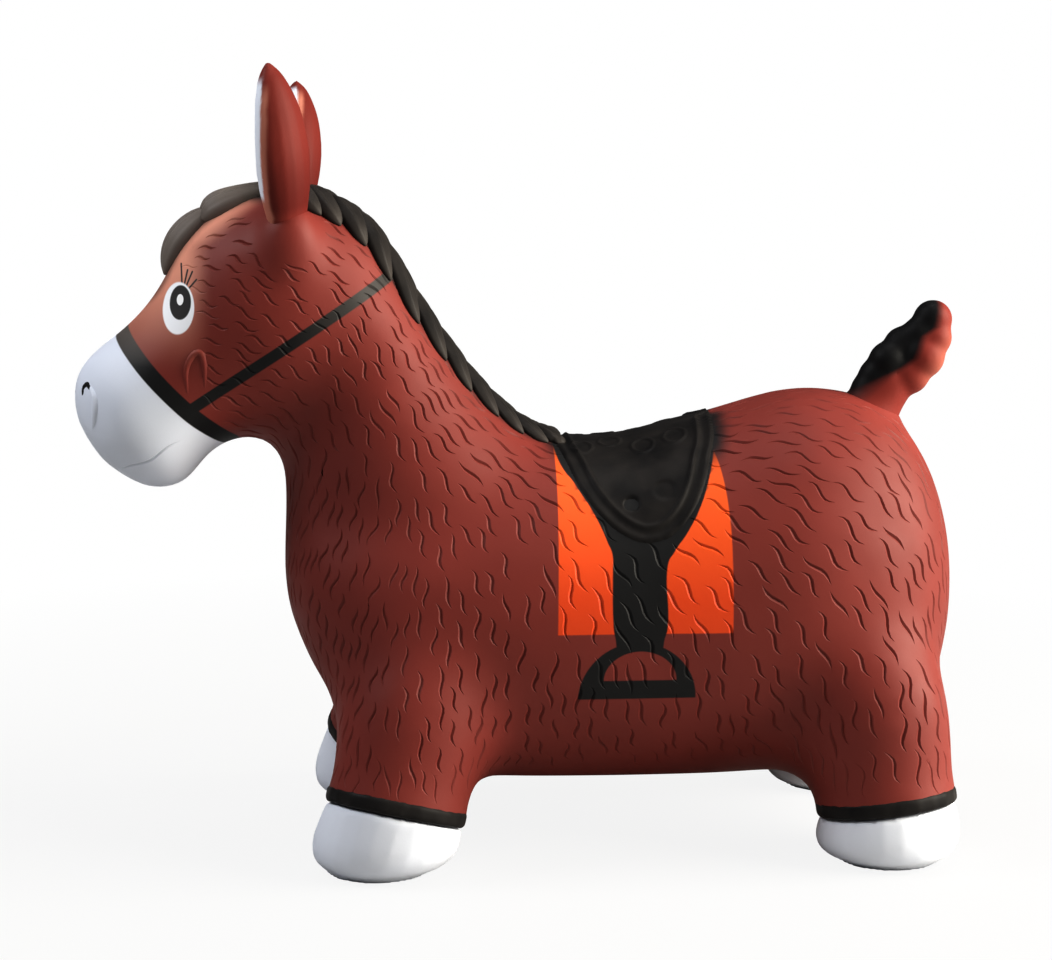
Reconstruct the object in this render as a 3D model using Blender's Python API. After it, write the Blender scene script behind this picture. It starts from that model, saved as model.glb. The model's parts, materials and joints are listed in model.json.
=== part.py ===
"""Bouncy ride-on horse: an inflatable toy moulded in soft PVC, standing on four short hooves.

Metres, +Z up, origin on the floor under the middle of the toy. The head points along -X and the horse's left
side is -Y. The smooth skin is modelled once, as the form, and then divided into its moulded zones, so every
zone meets its neighbours along one shared cut. The zones are solid: they stand for the skin and its air.
"""

import math
from dataclasses import dataclass

import bmesh
import bpy
from mathutils import Matrix, Vector
from mathutils.bvhtree import BVHTree

# Driving dimensions

CLEARANCE = 0.0003          # gap between two pieces that touch
FORM_VOXEL = 0.004          # fineness at which the swellings are run together
FORM_SOFTENING = 26         # passes that round the fillets between the swellings
SKIN_FACET = 0.0175         # size of a facet on the finished skin
FACET_SOFTENING = 1

CHEST_X = -0.163            # foremost point of the chest
BODY_LENGTH = 0.460         # from there to the rump
BARREL_WIDTH = 0.232
RUMP_WIDTH = 0.240
BELLY_Z = 0.036
SEAT_Z = 0.273              # lowest point of the back, where the rider sits
RUMP_RISE = 0.036           # from there to the top of the rump
HEAD_RISE = 0.087           # and to the middle of the skull

SKULL_SET = 0.003           # how far the middle of the skull is behind the chest
SKULL_RADIUS = 0.083
SKULL_WIDTH = 0.142
MUZZLE_REACH = 0.091        # from the middle of the skull to the middle of the muzzle
MUZZLE_DROP = 0.070
MUZZLE_RADIUS = 0.0605      # along the noseband
MUZZLE_DEPTH = 0.044        # square to the noseband
MUZZLE_WIDTH = 0.120
MUZZLE_TILT = math.radians(44)  # how far the muzzle points down
BRIDGE_RATIO = 0.80         # height of the bridge of the nose over the skull's and the muzzle's
BRIDGE_LIFT = 0.07          # how far the bridge lies above the line between their middles, likewise

EAR_LENGTH = 0.103          # from the skull to the tip
EAR_WIDTH = 0.050
EAR_DEPTH = 0.035           # from the lining to the back
EAR_SPACING = 0.092         # between the two roots
EAR_SET = 0.003             # how far the ears stand behind the middle of the skull
EAR_ROOT = 0.016            # the bending length above the skull
EAR_SCOOP = 0.013           # depth of the hollow lining
EAR_TURN = math.radians(14)  # how far the linings turn outwards
EAR_LEAN = {"left": math.radians(-5), "right": math.radians(4)}
EAR_SPLAY = {"left": math.radians(9), "right": math.radians(25)}

TAIL_SET = 0.051            # from the rump's end to the middle of the tail's root
TAIL_DROP = 0.017           # how far that lies below the top of the rump
TAIL_LENGTH = 0.091
TAIL_RADIUS = 0.025
TAIL_NECK_RADIUS = 0.0165
TAIL_RAKE = math.radians(33)
TAIL_ROOT = 0.018           # the bending length above the rump

MANE_HEIGHT = 0.0085
MANE_WIDTH = 0.046
MANE_LOCKS = 13
MANE_STATIONS = 6
MANE_LIFT = 0.0010          # of its middle line above the skin
FORELOCK_HEIGHT = 0.013
FORELOCK_WIDTH = 0.056
FORELOCK_LOCKS = 3
FORELOCK_LIFT = 0.0022
LOCK_DEPTH = 0.18           # how deep the twist runs, over the height of the lock
LOCK_SLANT = 1.6            # how far the twist lags at the sides, in radians

SADDLE_SET = 0.179          # from the chest to the saddle's front
SADDLE_LENGTH = 0.116
SADDLE_THICKNESS = 0.004
SADDLE_FLAP_DROP = 0.066    # from the seat to the lowest point of the flaps
SADDLE_FLAP_WIDTH = 0.040   # at that point

LEG_TOP_Z = 0.100           # the cut between leg and barrel
LEG_INNER_Y = 0.042         # the cut between leg and belly
FOOT_INSET = 0.018          # from the side of the barrel to the middle of a band
SOLE_INSET = 0.004          # from there to the middle of the sole
HAUNCH_Z = 0.125
HAUNCH_RADII = Vector((0.066, 0.062, 0.085))
BAND_HEIGHT = 0.011
BAND_PROUD = 0.0015         # how far the coronet band stands out of the leg
SOLE_RATIO = 0.72           # flat sole over the band's radius
HOOF_BULGE = 1.06           # widest hoof over the band's radius

VALVE_Z = 0.190             # height of the valve in the middle of the rump
VALVE_SUNK = 0.0005         # how far its face lies below the skin
VALVE_RADIUS = 0.013
VALVE_HEIGHT = 0.010
PLUG_HEAD_RADIUS = 0.0085
PLUG_HEAD_HEIGHT = 0.0025
PLUG_STEM_RADIUS = 0.0040
PLUG_STEM_LENGTH = 0.013
PLUG_FIT = 0.0002           # running gap of the plug in its seat

# Outlines, as shares of the sizes above

LEG_SPREAD = ((-0.060, 1.02), (0.000, 1.02), (0.025, 1.05), (0.055, 1.14), (0.085, 1.06), (0.110, 0.70))
EAR_OUTLINE = ((0.00, 0.70), (0.22, 0.93), (0.45, 1.00), (0.70, 0.84), (0.90, 0.46), (1.00, 0.06))
EAR_BURIED = 0.020          # length inside the skull before the ear is cut to it
EAR_FRONT_SHARE = 0.40      # of the ear's depth that lies in front of its middle
TAIL_STALK = ((-0.25, 1.25), (0.05, 1.10), (0.25, 1.05), (0.50, 1.05), (0.75, 0.60))
TAIL_ROWS = ((0.40, 5, 0.46, 0.58), (0.62, 5, 0.42, 0.52), (0.82, 3, 0.22, 0.46))

# Facets

RING_POINTS = 24
EAR_POINTS = 18
EAR_STEPS = 3
TAIL_FACET = 0.0060
LOCK_STEPS = 8
LOCK_POINTS = 12
HOOF_STEPS = 6
SADDLE_STEPS = 16

HIDE_RED = (0.235, 0.038, 0.022, 1.0)
SPRAY_BLACK = (0.012, 0.012, 0.014, 1.0)
HOOF_WHITE = (0.760, 0.780, 0.830, 1.0)
PLUG_WHITE = (0.700, 0.700, 0.680, 1.0)

# Places that follow from the sizes

RUMP_X = CHEST_X + BODY_LENGTH
RUMP_Z = SEAT_Z + RUMP_RISE
SKULL_CENTRE = Vector((CHEST_X + SKULL_SET, 0.0, SEAT_Z + HEAD_RISE))
MUZZLE_CENTRE = SKULL_CENTRE - Vector((MUZZLE_REACH, 0.0, MUZZLE_DROP))
TAIL_BASE = Vector((RUMP_X - TAIL_SET, 0.0, RUMP_Z - TAIL_DROP))
SADDLE_FRONT_X = CHEST_X + SADDLE_SET
SADDLE_BACK_X = SADDLE_FRONT_X + SADDLE_LENGTH
FOOT_Y = BARREL_WIDTH / 2 - FOOT_INSET
SIDES = {"left": -1.0, "right": 1.0}


@dataclass(frozen=True)
class Station:
    """One cross-section of a loft along X: its place, lowest and highest point and width."""

    x: float
    low: float
    high: float
    width: float


@dataclass(frozen=True)
class Slice:
    """One cross-section of the neck: its front and back point in the middle plane, and its width."""

    front: Vector
    back: Vector
    width: float


@dataclass(frozen=True)
class Foot:
    """Where a leg ends: the middle of its band and of its sole, the band's radius and how the leg leans. Then
    where its haunch swells, and the cut between leg and belly. A foot faces -1 at the front and 1 at the
    back."""

    name: str
    centre: Vector
    sole: Vector
    radius: float
    forward_lean: float
    outward_lean: float
    haunch_x: float
    cut_x: float
    faces: float


FRONT_FOOT = Foot(
    name="front",
    centre=Vector((CHEST_X + 0.075, FOOT_Y, 0.0425)),
    sole=Vector((CHEST_X + 0.062, FOOT_Y - SOLE_INSET, 0.0)),
    radius=0.0455,
    forward_lean=math.radians(13),
    outward_lean=math.radians(14),
    haunch_x=CHEST_X + 0.097,
    cut_x=CHEST_X + 0.141,
    faces=-1.0,
)
HIND_FOOT = Foot(
    name="hind",
    centre=Vector((RUMP_X - 0.059, FOOT_Y, 0.0395)),
    sole=Vector((RUMP_X - 0.056, FOOT_Y - SOLE_INSET, 0.0)),
    radius=0.0455,
    forward_lean=math.radians(-7),
    outward_lean=math.radians(9),
    haunch_x=RUMP_X - 0.082,
    cut_x=RUMP_X - 0.121,
    faces=1.0,
)


# Shared helpers


def clear_scene():
    for obj in list(bpy.data.objects):
        bpy.data.objects.remove(obj, do_unlink=True)


def finish(name, colour, roughness):
    """A plain sprayed PVC finish."""
    material = bpy.data.materials.new(name)
    material.use_nodes = True
    shader = material.node_tree.nodes["Principled BSDF"]
    shader.inputs["Base Color"].default_value = colour
    shader.inputs["Roughness"].default_value = roughness
    shader.inputs["Metallic"].default_value = 0.0
    return material


def add_object(name, bm, origin=(0.0, 0.0, 0.0), material=None):
    """Turns a mesh in world coordinates into an object whose origin is at the given point."""
    origin = Vector(origin)
    bmesh.ops.translate(bm, verts=bm.verts, vec=-origin)
    bmesh.ops.recalc_face_normals(bm, faces=bm.faces)
    mesh = bpy.data.meshes.new(name)
    bm.to_mesh(mesh)
    bm.free()
    mesh.shade_smooth()
    mesh.set_sharp_from_angle(angle=math.radians(40))
    obj = bpy.data.objects.new(name, mesh)
    obj.location = origin
    bpy.context.scene.collection.objects.link(obj)
    if material is not None:
        mesh.materials.append(material)
    return obj


def as_guide(obj):
    obj.hide_render = True
    obj.display_type = "WIRE"
    return obj


def evaluated(obj):
    """The object's mesh as its modifiers leave it, in world coordinates."""
    bpy.context.view_layer.update()
    graph = bpy.context.evaluated_depsgraph_get()
    mesh = bpy.data.meshes.new_from_object(obj.evaluated_get(graph))
    mesh.transform(obj.matrix_world)
    bm = bmesh.new()
    bm.from_mesh(mesh)
    bpy.data.meshes.remove(mesh)
    return bm


def surface_of(obj):
    """The object's surface, to cast rays on."""
    bm = evaluated(obj)
    tree = BVHTree.FromBMesh(bm)
    bm.free()
    return tree


def loft(bm, rings):
    """Skins rings of equally many points, and closes both ends."""
    made = [[bm.verts.new(point) for point in ring] for ring in rings]
    count = len(made[0])
    for lower, upper in zip(made, made[1:]):
        for i in range(count):
            j = (i + 1) % count
            bm.faces.new((lower[i], lower[j], upper[j], upper[i]))
    bm.faces.new(list(reversed(made[0])))
    bm.faces.new(made[-1])


def ring(centre, across, along, half_across, half_along, count=RING_POINTS):
    """An ellipse about a centre, in the plane of two unit vectors."""
    turns = [2 * math.pi * i / count for i in range(count)]
    return [
        centre + across * (half_across * math.cos(t)) + along * (half_along * math.sin(t))
        for t in turns
    ]


def ellipsoid(bm, centre, radii, turn=Matrix.Identity(3), segments=32):
    place = Matrix.Translation(centre) @ turn.to_4x4() @ Matrix.Diagonal((*radii, 1.0))
    bmesh.ops.create_uvsphere(bm, u_segments=segments, v_segments=segments // 2, radius=1.0, matrix=place)


def smooth_curve(points, steps):
    """Points along a Catmull-Rom curve through the given ones."""
    padded = [2 * points[0] - points[1], *points, 2 * points[-1] - points[-2]]
    found = []
    for a, b, c, d in zip(padded, padded[1:], padded[2:], padded[3:]):
        for i in range(steps):
            t = i / steps
            bend = (2 * a - 5 * b + 4 * c - d) * t**2 + (3 * b - a - 3 * c + d) * t**3
            found.append(b + 0.5 * ((c - a) * t + bend))
    return [*found, points[-1]]


def cut(bm, point, normal):
    """Keeps the side that the normal points away from, and closes the cut."""
    geometry = [*bm.verts, *bm.edges, *bm.faces]
    bmesh.ops.bisect_plane(bm, geom=geometry, plane_co=point, plane_no=normal, clear_outer=True)
    rims = [edge for edge in bm.edges if edge.is_boundary]
    bmesh.ops.holes_fill(bm, edges=rims, sides=0)
    return bm


def boolean(obj, other, operation, solver="EXACT"):
    modifier = obj.modifiers.new(operation.title(), "BOOLEAN")
    modifier.operation = operation
    modifier.object = other
    modifier.solver = solver


# The form: the whole smooth skin


def trunk_stations():
    """Cross-sections of the trunk, from the rump to the chest."""
    middle = (SEAT_Z + BELLY_Z) / 2
    rump, barrel = RUMP_WIDTH / 2, BARREL_WIDTH / 2
    return [
        Station(RUMP_X, middle - 0.020, middle + 0.055, 0.24 * rump),
        Station(RUMP_X - 0.008, middle - 0.052, middle + 0.086, 0.48 * rump),
        Station(RUMP_X - 0.026, BELLY_Z + 0.040, RUMP_Z - 0.030, 0.72 * rump),
        Station(RUMP_X - 0.060, BELLY_Z + 0.014, RUMP_Z - 0.005, 0.91 * rump),
        Station(RUMP_X - 0.104, BELLY_Z + 0.003, RUMP_Z, rump),
        Station(RUMP_X - 0.160, BELLY_Z, (SEAT_Z + RUMP_Z) / 2 + 0.002, 0.5 * (rump + barrel)),
        Station(RUMP_X - 0.230, BELLY_Z, SEAT_Z, barrel),
        Station(RUMP_X - 0.300, BELLY_Z + 0.001, SEAT_Z + 0.002, barrel),
        Station(CHEST_X + 0.096, BELLY_Z + 0.005, SEAT_Z - 0.002, 0.97 * barrel),
        Station(CHEST_X + 0.052, BELLY_Z + 0.034, SEAT_Z - 0.014, 0.87 * barrel),
        Station(CHEST_X + 0.017, BELLY_Z + 0.088, SEAT_Z - 0.032, 0.64 * barrel),
        Station(CHEST_X + 0.003, BELLY_Z + 0.128, SEAT_Z - 0.055, 0.36 * barrel),
    ]


def neck_slices():
    """Cross-sections of the neck, from inside the barrel to inside the skull."""
    chest = Vector((CHEST_X, 0.0, SEAT_Z))
    poll = SKULL_CENTRE
    return [
        Slice(chest + Vector((0.033, 0, -0.108)), chest + Vector((0.221, 0, -0.058)), 0.085),
        Slice(chest + Vector((0.003, 0, -0.048)), chest + Vector((0.175, 0, -0.001)), 0.087),
        Slice(chest + Vector((0.004, 0, -0.013)), chest + Vector((0.135, 0, 0.035)), 0.074),
        Slice(poll + Vector((0.010, 0, -0.060)), poll + Vector((0.101, 0, -0.010)), 0.065),
        Slice(poll + Vector((0.010, 0, -0.030)), poll + Vector((0.075, 0, 0.031)), 0.059),
        Slice(poll + Vector((0.000, 0, 0.000)), poll + Vector((0.045, 0, 0.045)), 0.045),
    ]


def leg_axis(foot, side):
    """Unit vector up the leg."""
    lean = Vector((-math.tan(foot.forward_lean), side * math.tan(foot.outward_lean), -1.0))
    return -lean.normalized()


def foot_centre(foot, side):
    return Vector((foot.centre.x, side * foot.centre.y, foot.centre.z))


def band_ring(foot, side, height, radius):
    """The leg's round section, square to the leg, this far above the middle of the band."""
    up = leg_axis(foot, side)
    across = Vector((0.0, 1.0, 0.0)).cross(up).normalized()
    along = up.cross(across)
    return ring(foot_centre(foot, side) + up * height, across, along, radius, radius)


def add_trunk(bm):
    sideways, upright = Vector((0, 1, 0)), Vector((0, 0, 1))
    rings = []
    for s in trunk_stations():
        centre = Vector((s.x, 0.0, (s.low + s.high) / 2))
        rings.append(ring(centre, sideways, upright, s.width, (s.high - s.low) / 2))
    loft(bm, rings)


def add_neck(bm):
    sideways = Vector((0, 1, 0))
    rings = []
    for s in neck_slices():
        along = (s.back - s.front).normalized()
        rings.append(ring((s.front + s.back) / 2, sideways, along, s.width, (s.back - s.front).length / 2))
    loft(bm, rings)


def add_head(bm):
    """Skull and muzzle, with the bridge of the nose between them."""
    ellipsoid(bm, SKULL_CENTRE, (SKULL_RADIUS, SKULL_WIDTH / 2, SKULL_RADIUS))
    nod = Matrix.Rotation(-MUZZLE_TILT, 3, "Y")
    ellipsoid(bm, MUZZLE_CENTRE, (MUZZLE_DEPTH, MUZZLE_WIDTH / 2, MUZZLE_RADIUS), turn=nod)
    axis = (MUZZLE_CENTRE - SKULL_CENTRE).normalized()
    upright = Vector((0, 1, 0)).cross(axis)
    rings = []
    for share in (0.1, 0.4, 0.7, 1.0):
        radius = SKULL_RADIUS + (MUZZLE_RADIUS - SKULL_RADIUS) * share
        width = (SKULL_WIDTH + (MUZZLE_WIDTH - SKULL_WIDTH) * share) / 2
        centre = SKULL_CENTRE.lerp(MUZZLE_CENTRE, share) + upright * (BRIDGE_LIFT * radius)
        rings.append(ring(centre, Vector((0, 1, 0)), upright, 0.92 * width, BRIDGE_RATIO * radius))
    loft(bm, rings)


def add_leg(bm, foot, side):
    """A stub that runs past its band, so that softening leaves the band's section round, and the haunch."""
    loft(bm, [band_ring(foot, side, height, foot.radius * share) for height, share in LEG_SPREAD])
    across = BARREL_WIDTH / 2 - HAUNCH_RADII.y
    ellipsoid(bm, Vector((foot.haunch_x, side * across, HAUNCH_Z)), HAUNCH_RADII)


def make_form():
    """The swellings of the whole skin, run together and softened."""
    bm = bmesh.new()
    add_trunk(bm)
    add_neck(bm)
    add_head(bm)
    for foot in (FRONT_FOOT, HIND_FOOT):
        for side in SIDES.values():
            add_leg(bm, foot, side)
    obj = as_guide(add_object("skin_form", bm))
    for voxel, passes in ((FORM_VOXEL, FORM_SOFTENING), (SKIN_FACET, FACET_SOFTENING)):
        remesh = obj.modifiers.new("Run together", "REMESH")
        remesh.mode = "VOXEL"
        remesh.voxel_size = voxel
        soften = obj.modifiers.new("Soften", "SMOOTH")
        soften.factor = 0.5
        soften.iterations = passes
    skin = evaluated(obj)
    bmesh.ops.triangulate(skin, faces=skin.faces)
    return as_guide(add_object("form", skin))


# Zones cut from the form


@dataclass(frozen=True)
class Seam:
    """A flat cut through the skin: a point on it and the way it faces."""

    point: Vector
    normal: Vector

    def facing(self, sign):
        """The same cut, drawn back by half the clearance, for the zone on one side of it."""
        return self.point - self.normal * (sign * CLEARANCE / 2), self.normal * sign


def seam_through(back, front):
    """The cut through two points of the middle plane, facing the head."""
    along = back - front
    return Seam(front, Vector((-along.z, 0.0, along.x)).normalized())


NECK_SEAM = seam_through(
    back=Vector((SADDLE_FRONT_X - 0.006, 0, SEAT_Z + 0.017)),
    front=Vector((CHEST_X, 0, SEAT_Z - 0.051)),
)
HEAD_SEAM = seam_through(
    back=SKULL_CENTRE + Vector((0.073, 0, 0.060)),
    front=SKULL_CENTRE + Vector((-0.008, 0, -0.086)),
)
MUZZLE_SEAM = seam_through(
    back=MUZZLE_CENTRE + Vector((-0.019, 0, 0.055)),
    front=MUZZLE_CENTRE + Vector((0.043, 0, -0.017)),
)


def zone(form, *cuts):
    """The part of the form that lies behind every cut."""
    bm = evaluated(form)
    for point, normal in cuts:
        cut(bm, point, normal)
    return bm


def make_box(name, low, high):
    bm = bmesh.new()
    size = high - low
    place = Matrix.Translation((low + high) / 2) @ Matrix.Diagonal((*size, 1.0))
    bmesh.ops.create_cube(bm, size=1.0, matrix=place)
    return as_guide(add_object(name, bm))


def turned(profile, face):
    """A solid of revolution about the lengthwise line through a point, from points that each give a radius
    and a depth below the face."""
    bm = bmesh.new()
    sideways, upright = Vector((0, 1, 0)), Vector((0, 0, 1))
    loft(bm, [ring(face - Vector((depth, 0, 0)), sideways, upright, r, r) for r, depth in profile])
    return bm


def leg_pocket(foot, name, side):
    """The room that a leg takes up in the barrel, out past the skin on every open side."""
    far = 0.5
    across = sorted((side * LEG_INNER_Y, side * far))
    along = sorted((foot.cut_x, foot.faces * far))
    low = Vector((along[0], across[0], -far))
    high = Vector((along[1], across[1], LEG_TOP_Z))
    return make_box(f"{foot.name}_{name}_leg_pocket", low, high)


def make_barrel(form, valve_face, material):
    bm = zone(form, NECK_SEAM.facing(1.0))
    barrel = add_object("barrel", bm, material=material)
    for foot in (FRONT_FOOT, HIND_FOOT):
        for name, side in SIDES.items():
            boolean(barrel, leg_pocket(foot, name, side), "DIFFERENCE", solver="MANIFOLD")
    pocket = as_guide(add_object("valve_pocket", valve_pocket(valve_face)))
    boolean(barrel, pocket, "DIFFERENCE", solver="MANIFOLD")
    return barrel


def make_leg(form, foot, name, side, material):
    up = leg_axis(foot, side)
    ankle = foot_centre(foot, side) + up * (BAND_HEIGHT / 2 + CLEARANCE)
    bm = zone(
        form,
        (Vector((0, 0, LEG_TOP_Z - CLEARANCE)), Vector((0, 0, 1))),
        (Vector((0, side * (LEG_INNER_Y + CLEARANCE), 0)), Vector((0, -side, 0))),
        (Vector((foot.cut_x + foot.faces * CLEARANCE, 0, 0)), Vector((-foot.faces, 0, 0))),
        (ankle, -up),
    )
    return add_object(name, bm, material=material)


# Hooves and coronet bands


def make_band(foot, name, side, material):
    """The raised ring between leg and hoof, with rounded edges."""
    half, proud = BAND_HEIGHT / 2, foot.radius + BAND_PROUD
    profile = ((-half, foot.radius), (-0.6 * half, proud), (0.6 * half, proud), (half, foot.radius))
    bm = bmesh.new()
    loft(bm, [band_ring(foot, side, height, radius) for height, radius in profile])
    return add_object(name, bm, origin=foot_centre(foot, side), material=material)


def make_hoof(foot, name, side, material):
    """A rounded hoof: a flat sole on the floor that swells and then runs up to the band."""
    top = band_ring(foot, side, -BAND_HEIGHT / 2 - CLEARANCE, foot.radius)
    sole = Vector((foot.sole.x, side * foot.sole.y, 0.0))
    reach = foot.radius * SOLE_RATIO
    bottom = ring(sole, Vector((1, 0, 0)), Vector((0, 1, 0)), reach, reach)
    rings = []
    for step in range(HOOF_STEPS + 1):
        share = step / HOOF_STEPS
        level = [low.lerp(high, share) for low, high in zip(bottom, top)]
        middle = sum(level, Vector()) / len(level)
        swell = 1 + hoof_swell(share)
        rings.append([Vector((*(middle + (p - middle) * swell).xy, p.z)) for p in level])
    bm = bmesh.new()
    loft(bm, rings)
    return add_object(name, bm, origin=sole, material=material)


def hoof_swell(share):
    """How much wider than a straight taper the hoof is, from the sole (0) to the band (1)."""
    taper = SOLE_RATIO + (1 - SOLE_RATIO) * share
    return (HOOF_BULGE / taper - 1) * math.sin(math.pi * share) ** 0.6


# Ears


def ear_frame(name, side):
    """Placement of an ear: its root on the skull, X towards its back and Z up its length."""
    back = SKULL_CENTRE.x + EAR_SET
    root = Vector((back, side * EAR_SPACING / 2, skull_top(back, EAR_SPACING / 2)))
    turn = Matrix.Rotation(EAR_LEAN[name], 3, "Y") @ Matrix.Rotation(-side * EAR_SPLAY[name], 3, "X")
    turn = turn @ Matrix.Rotation(side * EAR_TURN, 3, "Z")
    return Matrix.Translation(root) @ turn.to_4x4()


def skull_top(x, y):
    """Height of the skull's surface above a point."""
    dx = (x - SKULL_CENTRE.x) / SKULL_RADIUS
    dy = y / (SKULL_WIDTH / 2)
    return SKULL_CENTRE.z + SKULL_RADIUS * math.sqrt(1 - dx**2 - dy**2)


def ear_ring(height, share):
    """A flat-fronted section of the ear, in its own frame."""
    points = []
    for i in range(EAR_POINTS):
        t = 2 * math.pi * i / EAR_POINTS
        depth = EAR_DEPTH * (1 - EAR_FRONT_SHARE if math.cos(t) > 0 else EAR_FRONT_SHARE)
        across = EAR_WIDTH / 2 * math.sin(t)
        points.append(Vector((share * depth * math.cos(t), share * across, height)))
    return points


def make_ear(name, side, skin, material):
    """A petal with a flat, hollowed front, divided into the blade and the root that bends."""
    outline = [Vector((height, share, 0)) for height, share in EAR_OUTLINE]
    bm = bmesh.new()
    rings = [ear_ring(-EAR_BURIED, EAR_OUTLINE[0][1])]
    rings += [ear_ring(p.x * EAR_LENGTH, p.y) for p in smooth_curve(outline, EAR_STEPS)]
    loft(bm, rings)
    place = ear_frame(name, side)
    bmesh.ops.transform(bm, matrix=place, verts=bm.verts)
    whole = as_guide(add_object(f"{name}_ear_form", bm))
    scoop = bmesh.new()
    centre = Vector((-EAR_FRONT_SHARE * EAR_DEPTH, 0, 0.54 * EAR_LENGTH))
    ellipsoid(scoop, centre, (EAR_SCOOP, 0.36 * EAR_WIDTH, 0.40 * EAR_LENGTH), segments=20)
    bmesh.ops.transform(scoop, matrix=place, verts=scoop.verts)
    boolean(whole, as_guide(add_object(f"{name}_ear_scoop", scoop)), "DIFFERENCE")
    boolean(whole, skin, "DIFFERENCE")
    up = place.to_3x3() @ Vector((0, 0, 1))
    base = place.translation
    bend = base + up * (EAR_ROOT / 2)
    crease = Seam(base + up * EAR_ROOT, up)
    add_object(f"{name}_ear_root", zone(whole, crease.facing(1.0)), origin=base, material=material)
    add_object(f"{name}_ear", zone(whole, crease.facing(-1.0)), origin=bend, material=material)


# Tail


def tail_axis():
    return Vector((math.sin(TAIL_RAKE), 0.0, math.cos(TAIL_RAKE)))


def tail_lobes():
    """Middle and radius of each lobe of the tail, in rings that turn half a step each. A row gives its
    height, the number of its lobes, how far out they lie and their radius."""
    up = tail_axis()
    sideways = Vector((0, 1, 0))
    forwards = sideways.cross(up)
    lobes = []
    for row, (height, count, offset, radius) in enumerate(TAIL_ROWS):
        middle = TAIL_BASE + up * (height * TAIL_LENGTH)
        for i in range(count):
            turn = 2 * math.pi * (i + 0.5 * row) / count
            out = forwards * math.cos(turn) + sideways * math.sin(turn)
            lobes.append((middle + out * (offset * TAIL_RADIUS), radius * TAIL_RADIUS))
    return lobes


def make_tail(skin, root_material, tuft_material):
    """A lobed tuft on a narrow root."""
    up = tail_axis()
    sideways = Vector((0, 1, 0))
    rings = []
    for height, share in TAIL_STALK:
        centre, radius = TAIL_BASE + up * (height * TAIL_LENGTH), TAIL_NECK_RADIUS * share
        rings.append(ring(centre, sideways, up.cross(sideways), radius, radius))
    bm = bmesh.new()
    loft(bm, rings)
    for centre, radius in tail_lobes():
        ellipsoid(bm, centre, (radius, radius, radius), segments=20)
    lumps = as_guide(add_object("tail_lumps", bm))
    remesh = lumps.modifiers.new("Run together", "REMESH")
    remesh.mode = "VOXEL"
    remesh.voxel_size = TAIL_FACET
    soften = lumps.modifiers.new("Soften", "SMOOTH")
    soften.iterations = 3
    whole = as_guide(add_object("tail_form", evaluated(lumps)))
    boolean(whole, skin, "DIFFERENCE")
    crease = Seam(TAIL_BASE + up * TAIL_ROOT, up)
    add_object("tail_root", zone(whole, crease.facing(1.0)), origin=TAIL_BASE, material=root_material)
    bend = TAIL_BASE + up * (TAIL_ROOT / 2)
    add_object("tail", zone(whole, crease.facing(-1.0)), origin=bend, material=tuft_material)


# Mane, forelock and saddle


def make_lock(name, path, height, width, locks, skin, material):
    """A strand of twisted locks along a path, laid on the skin."""
    points = smooth_curve(path, LOCK_STEPS)
    sideways = Vector((0, 1, 0))
    rings = []
    for i, point in enumerate(points):
        ahead = points[min(i + 1, len(points) - 1)] - points[max(i - 1, 0)]
        outward = sideways.cross(ahead).normalized()
        share = i / (len(points) - 1)
        fade = min(1.0, 0.45 + 4.0 * min(share, 1 - share))
        section = []
        for k in range(LOCK_POINTS):
            t = 2 * math.pi * k / LOCK_POINTS
            twist = 2 * math.pi * locks * share + LOCK_SLANT * abs(math.cos(t))
            swell = fade * (1 + LOCK_DEPTH * math.sin(twist))
            across = sideways * (width / 2 * swell * math.cos(t))
            section.append(point + across - outward * (height * swell * math.sin(t)))
        rings.append(section)
    bm = bmesh.new()
    loft(bm, rings)
    obj = add_object(name, bm, material=material)
    boolean(obj, skin, "DIFFERENCE")
    return obj


def mane_path(surface):
    """Along the crest of the neck, from between the ears to the saddle, just above the skin."""
    first, last = SKULL_CENTRE.x + 0.006, SADDLE_FRONT_X - 0.008
    path = []
    for i in range(MANE_STATIONS):
        x = first + (last - first) * i / (MANE_STATIONS - 1)
        above = Vector((x, 0.0, SKULL_CENTRE.z + 2 * SKULL_RADIUS))
        met, *_ = surface.ray_cast(above, Vector((0, 0, -1)))
        path.append(met + Vector((0, 0, MANE_LIFT)))
    return path


def forelock_path(surface):
    """From between the ears down the forehead, just above the skin."""
    path = []
    for degrees in (94, 116, 138, 160):
        turn = math.radians(degrees)
        outward = Vector((math.cos(turn), 0.0, math.sin(turn)))
        met, *_ = surface.ray_cast(SKULL_CENTRE + outward * (2 * SKULL_RADIUS), -outward)
        path.append(met + outward * FORELOCK_LIFT)
    return path


def saddle_outline():
    """The saddle seen from the side: a wide seat that narrows to a rounded flap."""
    middle = (SADDLE_FRONT_X + SADDLE_BACK_X) / 2
    over = SEAT_Z + 0.08
    narrow, widen = SADDLE_FLAP_WIDTH / 2, (SADDLE_LENGTH - SADDLE_FLAP_WIDTH) / 2
    points = [Vector((SADDLE_BACK_X, 0, over)), Vector((SADDLE_FRONT_X, 0, over))]
    for i in range(SADDLE_STEPS + 1):
        t = math.pi * i / SADDLE_STEPS
        reach = math.copysign(abs(math.cos(t)) ** 0.8, math.cos(t))
        half = narrow + widen * (1 - math.sin(t)) ** 0.5
        points.append(Vector((middle - reach * half, 0, SEAT_Z - SADDLE_FLAP_DROP * math.sin(t) ** 0.7)))
    return points


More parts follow.
